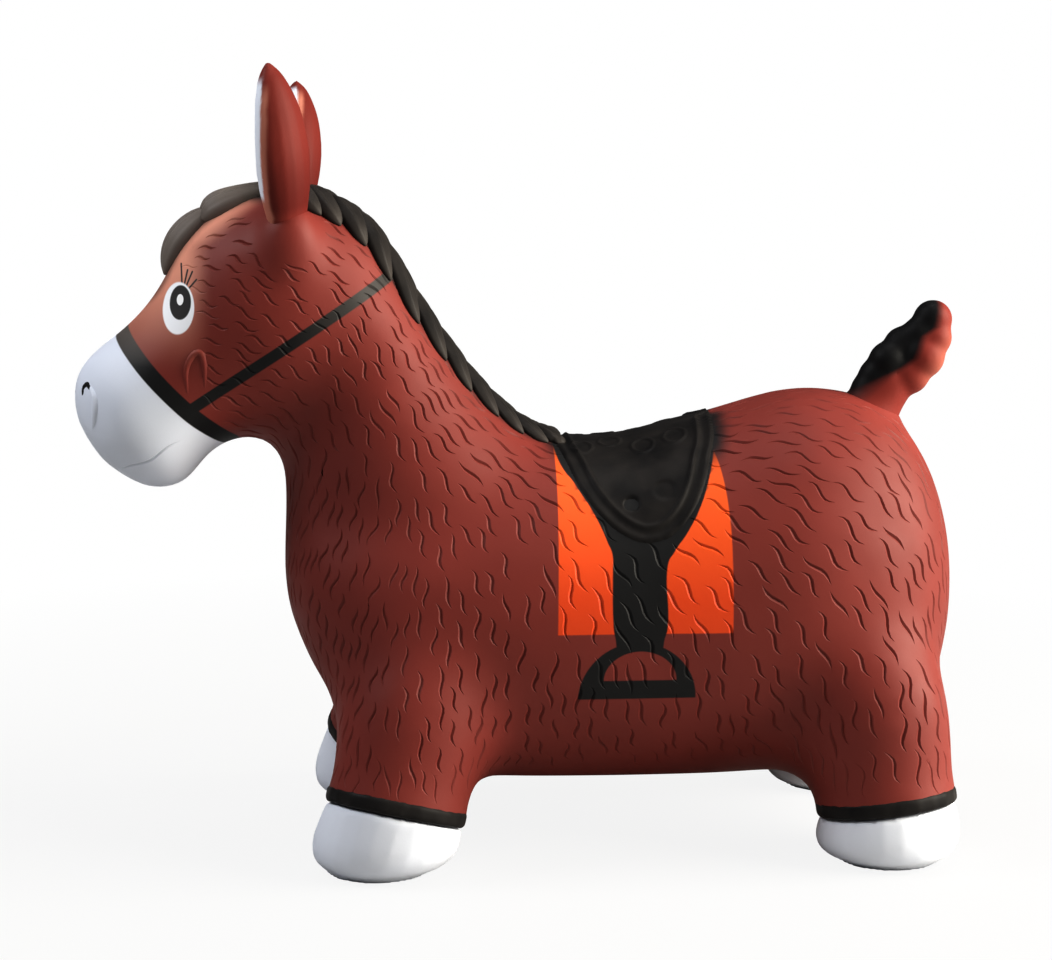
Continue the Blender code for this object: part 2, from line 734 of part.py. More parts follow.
def make_saddle(form, skin, material):
    """A pad of even thickness, draped over the back and cut to its outline."""
    reach = RUMP_WIDTH
    bm = bmesh.new()
    face = bm.faces.new([bm.verts.new(p - Vector((0, reach, 0))) for p in saddle_outline()])
    swept = bmesh.ops.extrude_face_region(bm, geom=[face])["geom"]
    moved = [item for item in swept if isinstance(item, bmesh.types.BMVert)]
    bmesh.ops.translate(bm, verts=moved, vec=(0, 2 * reach, 0))
    prism = as_guide(add_object("saddle_outline", bm))
    saddle = add_object("saddle", evaluated(form), material=material)
    swell(saddle, SADDLE_THICKNESS)
    boolean(saddle, prism, "INTERSECT")
    boolean(saddle, skin, "DIFFERENCE")
    return saddle


def swell(obj, distance):
    modifier = obj.modifiers.new("Swell", "DISPLACE")
    modifier.strength = distance
    modifier.mid_level = 0.0


# Valve and plug


def find_valve_face(surface):
    """The middle of the valve's outer face, just below the skin of the rump."""
    behind = Vector((RUMP_X + RUMP_WIDTH, 0.0, VALVE_Z))
    met, *_ = surface.ray_cast(behind, Vector((-1, 0, 0)))
    return met - Vector((VALVE_SUNK, 0, 0))


def valve_pocket(face):
    """The hole in the rump that the seat is moulded into, with room behind it for the stem."""
    bore = PLUG_STEM_RADIUS + PLUG_FIT
    outer = VALVE_RADIUS + CLEARANCE
    back = VALVE_HEIGHT + CLEARANCE
    depth = PLUG_HEAD_HEIGHT + PLUG_STEM_LENGTH + 2 * PLUG_FIT
    profile = ((outer, -VALVE_HEIGHT), (outer, back), (bore, back), (bore, depth))
    return turned(profile, face)


def make_valve_seat(face, material):
    """A collar with a bore for the stem and a recess for the plug's head."""
    collar = turned(((VALVE_RADIUS, 0), (VALVE_RADIUS, VALVE_HEIGHT)), face)
    seat = add_object("valve_seat", collar, material=material)
    bore, recess = PLUG_STEM_RADIUS + PLUG_FIT, PLUG_HEAD_RADIUS + PLUG_FIT
    floor = PLUG_HEAD_HEIGHT + PLUG_FIT
    profile = ((recess, -VALVE_HEIGHT), (recess, floor), (bore, floor), (bore, 2 * VALVE_HEIGHT))
    boolean(seat, as_guide(add_object("plug_bore", turned(profile, face))), "DIFFERENCE")


def make_air_plug(face, material):
    """A flat head and a stem with a rounded tip."""
    head, stem, tip = PLUG_HEAD_HEIGHT, PLUG_STEM_RADIUS, PLUG_HEAD_HEIGHT + PLUG_STEM_LENGTH
    profile = (
        (0.88 * PLUG_HEAD_RADIUS, 0),
        (PLUG_HEAD_RADIUS, 0.25 * head),
        (PLUG_HEAD_RADIUS, head),
        (stem, head),
        (stem, tip - 0.75 * stem),
        (0.6 * stem, tip),
    )
    add_object("air_plug", turned(profile, face), origin=face, material=material)


def main():
    clear_scene()
    hide = finish("sprayed_hide", HIDE_RED, 0.45)
    black = finish("sprayed_black", SPRAY_BLACK, 0.40)
    white = finish("bare_white", HOOF_WHITE, 0.45)
    pale = finish("plug_white", PLUG_WHITE, 0.50)

    form = make_form()
    skin = as_guide(add_object("skin", evaluated(form)))
    swell(skin, CLEARANCE)

    surface = surface_of(form)
    valve_face = find_valve_face(surface)
    make_barrel(form, valve_face, hide)
    add_object("neck", zone(form, NECK_SEAM.facing(-1.0), HEAD_SEAM.facing(1.0)), material=hide)
    add_object("head", zone(form, HEAD_SEAM.facing(-1.0), MUZZLE_SEAM.facing(1.0)), material=hide)
    add_object("muzzle", zone(form, HEAD_SEAM.facing(-1.0), MUZZLE_SEAM.facing(-1.0)), material=white)
    for foot in (FRONT_FOOT, HIND_FOOT):
        for name, side in SIDES.items():
            make_leg(form, foot, f"{foot.name}_{name}_leg", side, hide)
            make_band(foot, f"{foot.name}_{name}_band", side, black)
            make_hoof(foot, f"{foot.name}_{name}_hoof", side, white)
    for name, side in SIDES.items():
        make_ear(name, side, skin, hide)
    make_tail(skin, hide, black)
    crest, brow = mane_path(surface), forelock_path(surface)
    make_lock("mane", crest, MANE_HEIGHT, MANE_WIDTH, MANE_LOCKS, skin, black)
    make_lock("forelock", brow, FORELOCK_HEIGHT, FORELOCK_WIDTH, FORELOCK_LOCKS, skin, black)
    make_saddle(form, skin, black)
    make_valve_seat(valve_face, pale)
    make_air_plug(valve_face, pale)


main()
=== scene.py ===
"""Looks of an inflatable hopper horse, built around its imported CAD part.

One continuous skin stands for the barrel, neck, head, muzzle and legs. The grooves between its hairs are
carved into it, and its bridle, saddle cloth, stirrups and eyes are paint. Hooves, bands, mane, forelock,
saddle, ears, tail, valve and nostrils are pieces of their own. Lengths are in metres, in the frame of the
CAD part: +Z up, the head towards -X, the horse's left side towards -Y.
"""

import json
import logging
import math
from collections.abc import Iterable
from dataclasses import dataclass, field
from enum import Enum

import bpy
import numpy as np
from mathutils import Matrix, Vector
from mathutils.bvhtree import BVHTree

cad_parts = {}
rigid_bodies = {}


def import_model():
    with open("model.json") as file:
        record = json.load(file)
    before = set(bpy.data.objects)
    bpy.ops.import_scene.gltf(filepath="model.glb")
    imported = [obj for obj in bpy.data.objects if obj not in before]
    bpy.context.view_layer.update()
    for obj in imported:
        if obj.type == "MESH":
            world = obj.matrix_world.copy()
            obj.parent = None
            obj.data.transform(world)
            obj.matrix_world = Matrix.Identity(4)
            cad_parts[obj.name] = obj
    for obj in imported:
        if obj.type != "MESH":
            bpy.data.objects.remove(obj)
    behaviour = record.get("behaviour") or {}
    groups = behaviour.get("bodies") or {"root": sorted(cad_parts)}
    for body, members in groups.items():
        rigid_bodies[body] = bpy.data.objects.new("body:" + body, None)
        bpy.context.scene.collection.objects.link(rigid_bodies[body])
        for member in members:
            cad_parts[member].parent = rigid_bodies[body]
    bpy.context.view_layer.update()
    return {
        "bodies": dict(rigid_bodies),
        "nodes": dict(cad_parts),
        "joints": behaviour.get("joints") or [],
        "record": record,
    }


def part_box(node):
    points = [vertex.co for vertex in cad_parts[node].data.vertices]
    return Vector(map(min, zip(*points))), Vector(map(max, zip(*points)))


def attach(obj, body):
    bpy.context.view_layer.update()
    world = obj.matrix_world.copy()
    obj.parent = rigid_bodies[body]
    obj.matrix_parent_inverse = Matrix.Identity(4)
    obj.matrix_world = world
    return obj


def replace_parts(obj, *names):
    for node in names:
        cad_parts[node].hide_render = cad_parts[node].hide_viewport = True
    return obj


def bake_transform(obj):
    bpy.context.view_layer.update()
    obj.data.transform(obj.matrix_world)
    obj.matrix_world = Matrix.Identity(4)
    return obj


LOG = logging.getLogger("horse")

Colour = tuple[float, float, float]
Point2 = tuple[float, float]
Point3 = tuple[float, float, float]
Line2 = tuple[Point2, ...]
Solid = tuple[np.ndarray, list]


class Side(Enum):
    """The two sides of the horse, by the sign of Y."""

    LEFT = -1
    RIGHT = 1


@dataclass(frozen=True)
class Oval:
    """An oval on the side of the skin, by its middle and its radii."""

    centre: Point2
    radii: Point2


# Colours, linear

HIDE = (0.176, 0.0290, 0.0215)
# Paler hide: the rims of the ears, and the painted highlight on the face and the back of the tail.
HIDE_PALE = (0.700, 0.330, 0.235)
# Painted shade on the ears.
HIDE_SHADE = (0.085, 0.0090, 0.0065)
BLACK = (0.0055, 0.0055, 0.0062)
# Smoky grey of thinly sprayed black, also the painted highlight on the saddle's ridges and the forelock.
SMOKE = (0.190, 0.164, 0.146)
SHADOW = (0.0, 0.0, 0.0)
ORANGE = (0.590, 0.062, 0.009)
ORANGE_PALE = (0.700, 0.108, 0.015)
WHITE = (0.720, 0.752, 0.830)
WHITE_SHADE = (0.54, 0.58, 0.68)
HOOF_WHITE = (0.75, 0.78, 0.85)
HOOF_SHADE = (0.70, 0.73, 0.81)
PLUG_GREY = (0.66, 0.66, 0.63)
PLUG_SHADE = (0.58, 0.58, 0.55)
INK = (0.022, 0.020, 0.020)
EYE_WHITE = (0.86, 0.87, 0.90)
GLINT_WHITE = (0.90, 0.90, 0.90)

# Places on the skin, seen from the side: X and Z

NOSEBAND_POINT = (-0.2608, 0.3507)
NOSEBAND_NORMAL = (0.713, 0.702)
NOSEBAND_WIDTH = 0.0110
NOSEBAND_BULGE = 0.0030
NOSEBAND_SMOKE_Z = 0.338
MUZZLE_HALF_WIDTH = 0.055
MUZZLE_BACK_X = -0.190
STRAP_ENDS = ((-0.2183, 0.3008), (-0.0850, 0.3880))
STRAP_HALF_WIDTH = 0.0037
STRAP_SMOKE_X = -0.128
EYE = Oval((-0.2266, 0.3661), (0.0108, 0.0166))
IRIS = Oval((-0.2253, 0.3698), (0.0073, 0.0110))
GLINT = Oval((-0.2254, 0.3716), (0.0023, 0.0036))
EYE_TILT = math.radians(4)
LASHES = (
    ((-0.2242, 0.3815), (-0.2252, 0.3944)),
    ((-0.2226, 0.3815), (-0.2205, 0.3907)),
    ((-0.2215, 0.3800), (-0.2172, 0.3898)),
    ((-0.2197, 0.3788), (-0.2143, 0.3849)),
)
LASH_HALF_WIDTH = 0.00055
STIRRUP = Oval((0.0690, 0.1143), (0.0386, 0.0388))
STIRRUP_BOTTOM_Z = 0.1143
OPENING = Oval((0.0706, 0.1273), (0.0238, 0.0198))
LEATHER_BOTTOM_Z = 0.1490
SADDLE_OUTLINE = (
    (0.0222, 0.2739), (0.0235, 0.2707), (0.0279, 0.2619), (0.0344, 0.2479), (0.0435, 0.2350),
    (0.0551, 0.2237), (0.0671, 0.2170), (0.0773, 0.2151), (0.0898, 0.2180), (0.1006, 0.2258),
    (0.1098, 0.2373), (0.1177, 0.2525), (0.1232, 0.2672), (0.1273, 0.2762), (0.1310, 0.2900),
)
CHEEK_FOLD = (
    (-0.2210, 0.3110), (-0.2216, 0.3264), (-0.2173, 0.3359), (-0.2121, 0.3379), (-0.2097, 0.3308),
    (-0.2096, 0.3150),
)
MOUTH = ((-0.2700, 0.2575), (-0.2607, 0.2619), (-0.2476, 0.2660), (-0.2366, 0.2744), (-0.2240, 0.2810))
NOSTRIL = ((-0.2920, 0.3075), (-0.2912, 0.3128), (-0.2883, 0.3152), (-0.2858, 0.3119))
NOSTRIL_WING = ((-0.2862, 0.3140), (-0.2832, 0.3060), (-0.2832, 0.2960), (-0.2855, 0.2860))

# Edges of the painted cloth and of the flap and leather over it: Z and X

CLOTH_BOTTOM_Z = 0.1587
CLOTH_TOP_Z = 0.2790
CLOTH_PALE_Z = 0.215
CLOTH_FRONT = ((0.150, 0.0168), (0.159, 0.0168), (0.271, 0.0209), (0.290, 0.0216))
CLOTH_BACK = (
    (0.150, 0.1305), (0.199, 0.1308), (0.230, 0.1306), (0.253, 0.1290), (0.271, 0.1254), (0.290, 0.1190),
)
FLAP_FRONT = (
    (0.110, 0.0545), (0.152, 0.0545), (0.163, 0.0528), (0.200, 0.0530), (0.2065, 0.0534), (0.2161, 0.0505),
    (0.2341, 0.0424), (0.2497, 0.0325), (0.271, 0.0209), (0.295, 0.0190),
)
FLAP_BACK = (
    (0.110, 0.0855), (0.152, 0.0855), (0.163, 0.0880), (0.2005, 0.0884), (0.2104, 0.0934), (0.2220, 0.1024),
    (0.2393, 0.1130), (0.2562, 0.1203), (0.2708, 0.1254), (0.295, 0.1310),
)

# Flow of the hairs: X, Z and how steeply they run down towards the tail, in degrees

HAIR_FLOW = (
    (-0.137, 0.229, 103), (-0.142, 0.176, 96), (-0.124, 0.253, 95), (-0.108, 0.213, 103),
    (-0.091, 0.212, 101), (-0.087, 0.188, 96), (-0.112, 0.154, 92), (-0.102, 0.253, 89),
    (-0.080, 0.253, 80), (-0.068, 0.234, 80), (-0.069, 0.260, 66), (-0.080, 0.283, 60), (-0.101, 0.277, 60),
    (-0.052, 0.272, 55), (-0.048, 0.254, 58), (-0.033, 0.248, 50), (-0.035, 0.261, 42), (-0.020, 0.265, 28),
    (-0.014, 0.286, 18), (0.000, 0.263, 22), (-0.010, 0.248, 52), (0.003, 0.246, 60), (0.011, 0.238, 72),
    (0.001, 0.229, 66), (-0.018, 0.225, 72), (-0.031, 0.212, 72), (-0.043, 0.227, 70), (-0.056, 0.219, 70),
    (-0.012, 0.194, 76), (0.007, 0.189, 78), (-0.049, 0.188, 72), (-0.022, 0.157, 82), (-0.075, 0.150, 86),
    (0.030, 0.230, 58), (0.040, 0.200, 66), (0.040, 0.160, 74), (0.080, 0.190, 58), (0.110, 0.220, 42),
    (0.115, 0.190, 48), (0.110, 0.150, 66), (0.158, 0.309, 2), (0.146, 0.298, 4), (0.158, 0.289, 10),
    (0.183, 0.282, 26), (0.193, 0.272, 38), (0.206, 0.265, 44), (0.227, 0.290, 34), (0.247, 0.268, 56),
    (0.259, 0.244, 68), (0.160, 0.269, 12), (0.151, 0.256, 16), (0.146, 0.251, 25), (0.174, 0.251, 30),
    (0.135, 0.243, 26), (0.149, 0.240, 38), (0.175, 0.239, 46), (0.205, 0.243, 30), (0.217, 0.250, 44),
    (0.214, 0.230, 34), (0.207, 0.221, 46), (0.229, 0.226, 50), (0.228, 0.209, 50), (0.240, 0.234, 62),
    (0.167, 0.226, 50), (0.152, 0.217, 52), (0.178, 0.199, 48), (0.141, 0.204, 36), (0.159, 0.181, 54),
    (0.208, 0.194, 44), (0.225, 0.188, 48), (0.249, 0.196, 62), (0.238, 0.171, 70), (0.165, 0.150, 62),
    (0.200, 0.150, 62), (0.230, 0.130, 76), (0.260, 0.130, 84), (0.190, 0.110, 72), (0.110, 0.112, 78),
    (0.020, 0.112, 82), (-0.060, 0.112, 86), (-0.187, 0.432, -12), (-0.199, 0.398, 16), (-0.130, 0.404, 6),
    (-0.161, 0.401, 36), (-0.147, 0.395, 25), (-0.140, 0.378, 42), (-0.182, 0.391, 40), (-0.159, 0.370, 46),
    (-0.174, 0.352, 22), (-0.195, 0.362, 4), (-0.118, 0.384, 30), (-0.102, 0.378, 42), (-0.103, 0.342, 64),
    (-0.117, 0.338, 60), (-0.118, 0.325, 56), (-0.136, 0.336, 48), (-0.126, 0.314, 52), (-0.096, 0.311, 60),
    (-0.162, 0.311, 26), (-0.148, 0.287, 48), (-0.116, 0.287, 54), (-0.058, 0.307, 50), (-0.032, 0.294, 34),
)

FAR = 9.0


def past_noseband(x: "Wire | np.ndarray", z: "Wire | np.ndarray") -> "Wire | np.ndarray":
    """How far a place lies behind the noseband's back edge."""
    return (x - NOSEBAND_POINT[0]) * NOSEBAND_NORMAL[0] + (z - NOSEBAND_POINT[1]) * NOSEBAND_NORMAL[1]


def saddle_edge(x: np.ndarray) -> np.ndarray:
    """Height of the saddle's edge along X, and far above the horse where there is no saddle."""
    along, heights = zip(*SADDLE_OUTLINE)
    return np.interp(x, along, heights, left=FAR, right=FAR)


# Shaders


class Wire:
    """A number or colour that runs through a node tree. Arithmetic on it adds math nodes."""

    def __init__(self, nodes: "Nodes", socket: bpy.types.NodeSocket) -> None:
        """Wraps a socket of a tree."""
        self.nodes = nodes
        self.socket = socket

    def op(self, operation: str, *others: "Wire | float") -> "Wire":
        """One math node, with this wire as its first input."""
        return self.nodes.maths(operation, self, *others)

    def __add__(self, other: "Wire | float") -> "Wire":
        """The sum."""
        return self.op("ADD", other)

    __radd__ = __add__

    def __sub__(self, other: "Wire | float") -> "Wire":
        """The difference."""
        return self.op("SUBTRACT", other)

    def __rsub__(self, other: float) -> "Wire":
        """The difference from a number."""
        return self.nodes.maths("SUBTRACT", other, self)

    def __mul__(self, other: "Wire | float") -> "Wire":
        """The product."""
        return self.op("MULTIPLY", other)

    __rmul__ = __mul__

    def __truediv__(self, other: "Wire | float") -> "Wire":
        """The quotient."""
        return self.op("DIVIDE", other)

    def __rtruediv__(self, other: float) -> "Wire":
        """A number over this wire."""
        return self.nodes.maths("DIVIDE", other, self)

    def __abs__(self) -> "Wire":
        """The size without its sign."""
        return self.op("ABSOLUTE")

    def least(self, other: "Wire | float") -> "Wire":
        """The smaller of two."""
        return self.op("MINIMUM", other)

    def most(self, other: "Wire | float") -> "Wire":
        """The larger of two."""
        return self.op("MAXIMUM", other)

    def clamped(self) -> "Wire":
        """Kept between 0 and 1."""
        return self.most(0.0).least(1.0)

    def above(self, edge: "Wire | float", soft: float) -> "Wire":
        """1 where the wire is above an edge and 0 below it, over a soft border."""
        return ((self - edge) / soft + 0.5).clamped()

    def below(self, edge: "Wire | float", soft: float) -> "Wire":
        """1 where the wire is below an edge and 0 above it, over a soft border."""
        return 1.0 - self.above(edge, soft)


class Nodes:
    """Adds nodes to the tree of a material or of the world."""

    def __init__(self, tree: bpy.types.NodeTree) -> None:
        """Takes the tree that the nodes go into."""
        self.tree = tree

    def node(self, kind: str, settings: dict, inputs: dict, output: int | str = 0) -> Wire:
        """Adds any node.

        Args:
            kind: the node's type.
            settings: its properties, which are set first, with "points" for those of a curve.
            inputs: what goes into its sockets, by their names or numbers.
            output: the socket that comes back.

        Returns:
            The chosen output.
        """
        node = self.tree.nodes.new(kind)
        for key, value in settings.items():
            if key == "points":
                self.bend(node.mapping, value)
            else:
                setattr(node, key, value)
        for key, value in inputs.items():
            self.feed(node.inputs[key], value)
        return Wire(self, node.outputs[output])

    @staticmethod
    def bend(mapping: bpy.types.CurveMapping, points: list[Point2]) -> None:
        """Puts points on a node's curve.

        Args:
            mapping: the node's curve.
            points: inputs and outputs, each from 0 to 1.
        """
        curve = mapping.curves[0]
        while len(curve.points) < len(points):
            curve.points.new(0.5, 0.5)
        for point, place in zip(curve.points, points):
            point.location = place
        mapping.update()

    def feed(self, socket: bpy.types.NodeSocket, value: "Wire | float | tuple") -> None:
        """Puts a wire or a constant into a socket.

        Args:
            socket: where it goes.
            value: a wire, a number, a vector or a colour without its alpha.
        """
        if isinstance(value, Wire):
            self.tree.links.new(value.socket, socket)
        elif isinstance(value, tuple) and socket.type == "RGBA":
            socket.default_value = (*value, 1.0)
        else:
            socket.default_value = value

    def maths(self, operation: str, *values: Wire | float) -> Wire:
        """One math node."""
        return self.node("ShaderNodeMath", {"operation": operation}, dict(enumerate(values)))


class Shader(Nodes):
    """Builds the node tree of one material."""

    MIX_FACTOR, MIX_BELOW, MIX_OVER, MIXED = 0, 6, 7, 2

    def __init__(self, name: str) -> None:
        """Makes a new material.

        Args:
            name: of the material.
        """
        self.material = bpy.data.materials.new(name)
        self.material.use_nodes = True
        super().__init__(self.material.node_tree)
        self.surface = self.tree.nodes["Principled BSDF"]

    def stored(self, name: str, output: str = "Fac") -> Wire:
        """A number that the mesh carries, or a vector."""
        return self.node("ShaderNodeAttribute", {"attribute_name": name}, {}, output)

    def place(self) -> tuple[Wire, ...]:
        """Where a point of the surface lies at rest: X, Y and Z."""
        first = self.node("ShaderNodeSeparateXYZ", {}, {"Vector": self.stored("rest", "Vector")})
        return tuple(Wire(self, socket) for socket in first.socket.node.outputs)

    def noise(self, scale: float, detail: float = 2.0, stretch: tuple = (1.0, 1.0, 1.0)) -> Wire:
        """Cloudy noise over the resting surface, around 0.5.

        Args:
            scale: of the clouds.
            detail: of the clouds.
            stretch: how much faster they change along each axis.

        Returns:
            The noise.
        """
        rest = self.stored("rest", "Vector")
        spread = self.node("ShaderNodeMapping", {}, {"Vector": rest, "Scale": stretch})
        return self.node("ShaderNodeTexNoise", {}, {"Vector": spread, "Scale": scale, "Detail": detail})

    def curve(self, value: Wire, points: Line2, spare: float = 0.001) -> Wire:
        """A smooth function through points.

        Args:
            value: what the function is of.
            points: inputs and outputs.
            spare: room left above and below the outputs.

        Returns:
            The function's value.
        """
        low, high = points[0][0], points[-1][0]
        ends = [p[1] for p in points]
        base, span = min(ends) - spare, max(ends) - min(ends) + 2 * spare
        scaled = [((x - low) / (high - low), (y - base) / span) for x, y in points]
        share = ((value - low) / (high - low)).clamped()
        return self.node("ShaderNodeFloatCurve", {"points": scaled}, {"Value": share}) * span + base

    @staticmethod
    def ellipse(x: Wire, z: Wire, oval: Oval, tilt: float = 0.0) -> Wire:
        """Distance from the middle of an oval, in its radii.

        Args:
            x: place along the horse.
            z: height.
            oval: its middle and radii.
            tilt: how far it leans.

        Returns:
            1 on the oval, less inside it.
        """
        dx, dz = x - oval.centre[0], z - oval.centre[1]
        along = (dx * math.cos(tilt) - dz * math.sin(tilt)) / oval.radii[0]
        across = (dx * math.sin(tilt) + dz * math.cos(tilt)) / oval.radii[1]
        return (along * along + across * across).op("SQRT")

    @staticmethod
    def line(x: Wire, z: Wire, start: Point2, end: Point2) -> Wire:
        """Distance from a straight line between two points.

        Args:
            x: place along the horse.
            z: height.
            start: one end of the line.
            end: its other end.

        Returns:
            The distance.
        """
        dx, dz = end[0] - start[0], end[1] - start[1]
        share = (((x - start[0]) * dx + (z - start[1]) * dz) / (dx * dx + dz * dz)).clamped()
        off_x, off_z = x - start[0] - share * dx, z - start[1] - share * dz
        return (off_x * off_x + off_z * off_z).op("SQRT")

    def mix(self, below: "Wire | Colour", over: "Wire | Colour", share: "Wire | float") -> Wire:
        """One colour over another."""
        inputs = {self.MIX_FACTOR: share, self.MIX_BELOW: below, self.MIX_OVER: over}
        return self.node("ShaderNodeMix", {"data_type": "RGBA"}, inputs, self.MIXED)

    def grain(self, height: Wire, strength: float, distance: float) -> None:
        """Fine relief of the surface."""
        bump = {"Strength": strength, "Distance": distance, "Height": height}
        self.feed(self.surface.inputs["Normal"], self.node("ShaderNodeBump", {}, bump))

    def finish(
        self, colour: "Wire | Colour", roughness: "Wire | float", specular: float
    ) -> bpy.types.Material:
        """Puts colour and gloss into the surface.

        Args:
            colour: of the surface.
            roughness: of the surface.
            specular: strength of its reflections.

        Returns:
            The finished material.
        """
        self.feed(self.surface.inputs["Base Color"], colour)
        self.feed(self.surface.inputs["Roughness"], roughness)
        self.feed(self.surface.inputs["Specular IOR Level"], specular)
        return self.material


@dataclass(frozen=True)
class Vinyl:
    """Soft PVC, sprayed or bare."""

    name: str
    roughness: float = 0.47
    specular: float = 0.11
    cloud_scale: float = 9.0
    cloud_contrast: float = 2.2
    streak_scale: float = 38.0
    streaks: float = 0.16
    drift_scale: float = 55.0
    drift: float = 0.16
    grain_scale: float = 700.0
    grain_strength: float = 0.08
    grain_depth: float = 0.0004

    def cloudy(self, shader: Shader, deep: Colour, pale: Colour) -> Wire:
        """Sprayed colour, a little uneven."""
        cloud = shader.noise(self.cloud_scale, 3.0)
        return shader.mix(deep, pale, ((cloud - 0.5) * self.cloud_contrast + 0.5).clamped())

    def finished(self, shader: Shader, colour: Wire) -> bpy.types.Material:
        """Colour with faint streaks in its gloss and a fine grain.

        Args:
            shader: of the material.
            colour: of the surface.

        Returns:
            The finished material.
        """
        shader.grain(shader.noise(self.grain_scale, 1.0), self.grain_strength, self.grain_depth)
        gloss = shader.noise(self.streak_scale) * self.streaks + (self.roughness - self.streaks / 2)
        return shader.finish(colour, gloss, self.specular)

    def sprayed(self, ink: Colour, smoke: Colour) -> bpy.types.Material:
        """Paint that turns to smoke where the mesh says so: where it is sprayed thinly, and as a painted
        highlight on some pieces.

        Args:
            ink: the full colour.
            smoke: the thinner colour, also that of painted highlights.

        Returns:
            The material.
        """
        shader = Shader(self.name)
        cloud = shader.noise(self.drift_scale, 3.0, (1.0, 1.0, 0.5))
        thin = (shader.stored("thin") + (cloud - 0.5) * self.drift).clamped()
        return self.finished(shader, shader.mix(ink, smoke, thin))

    def bare(self, colour: Colour, shade: Colour) -> bpy.types.Material:
        """Vinyl in its own colour."""
        shader = Shader(self.name)
        return self.finished(shader, self.cloudy(shader, shade, colour))


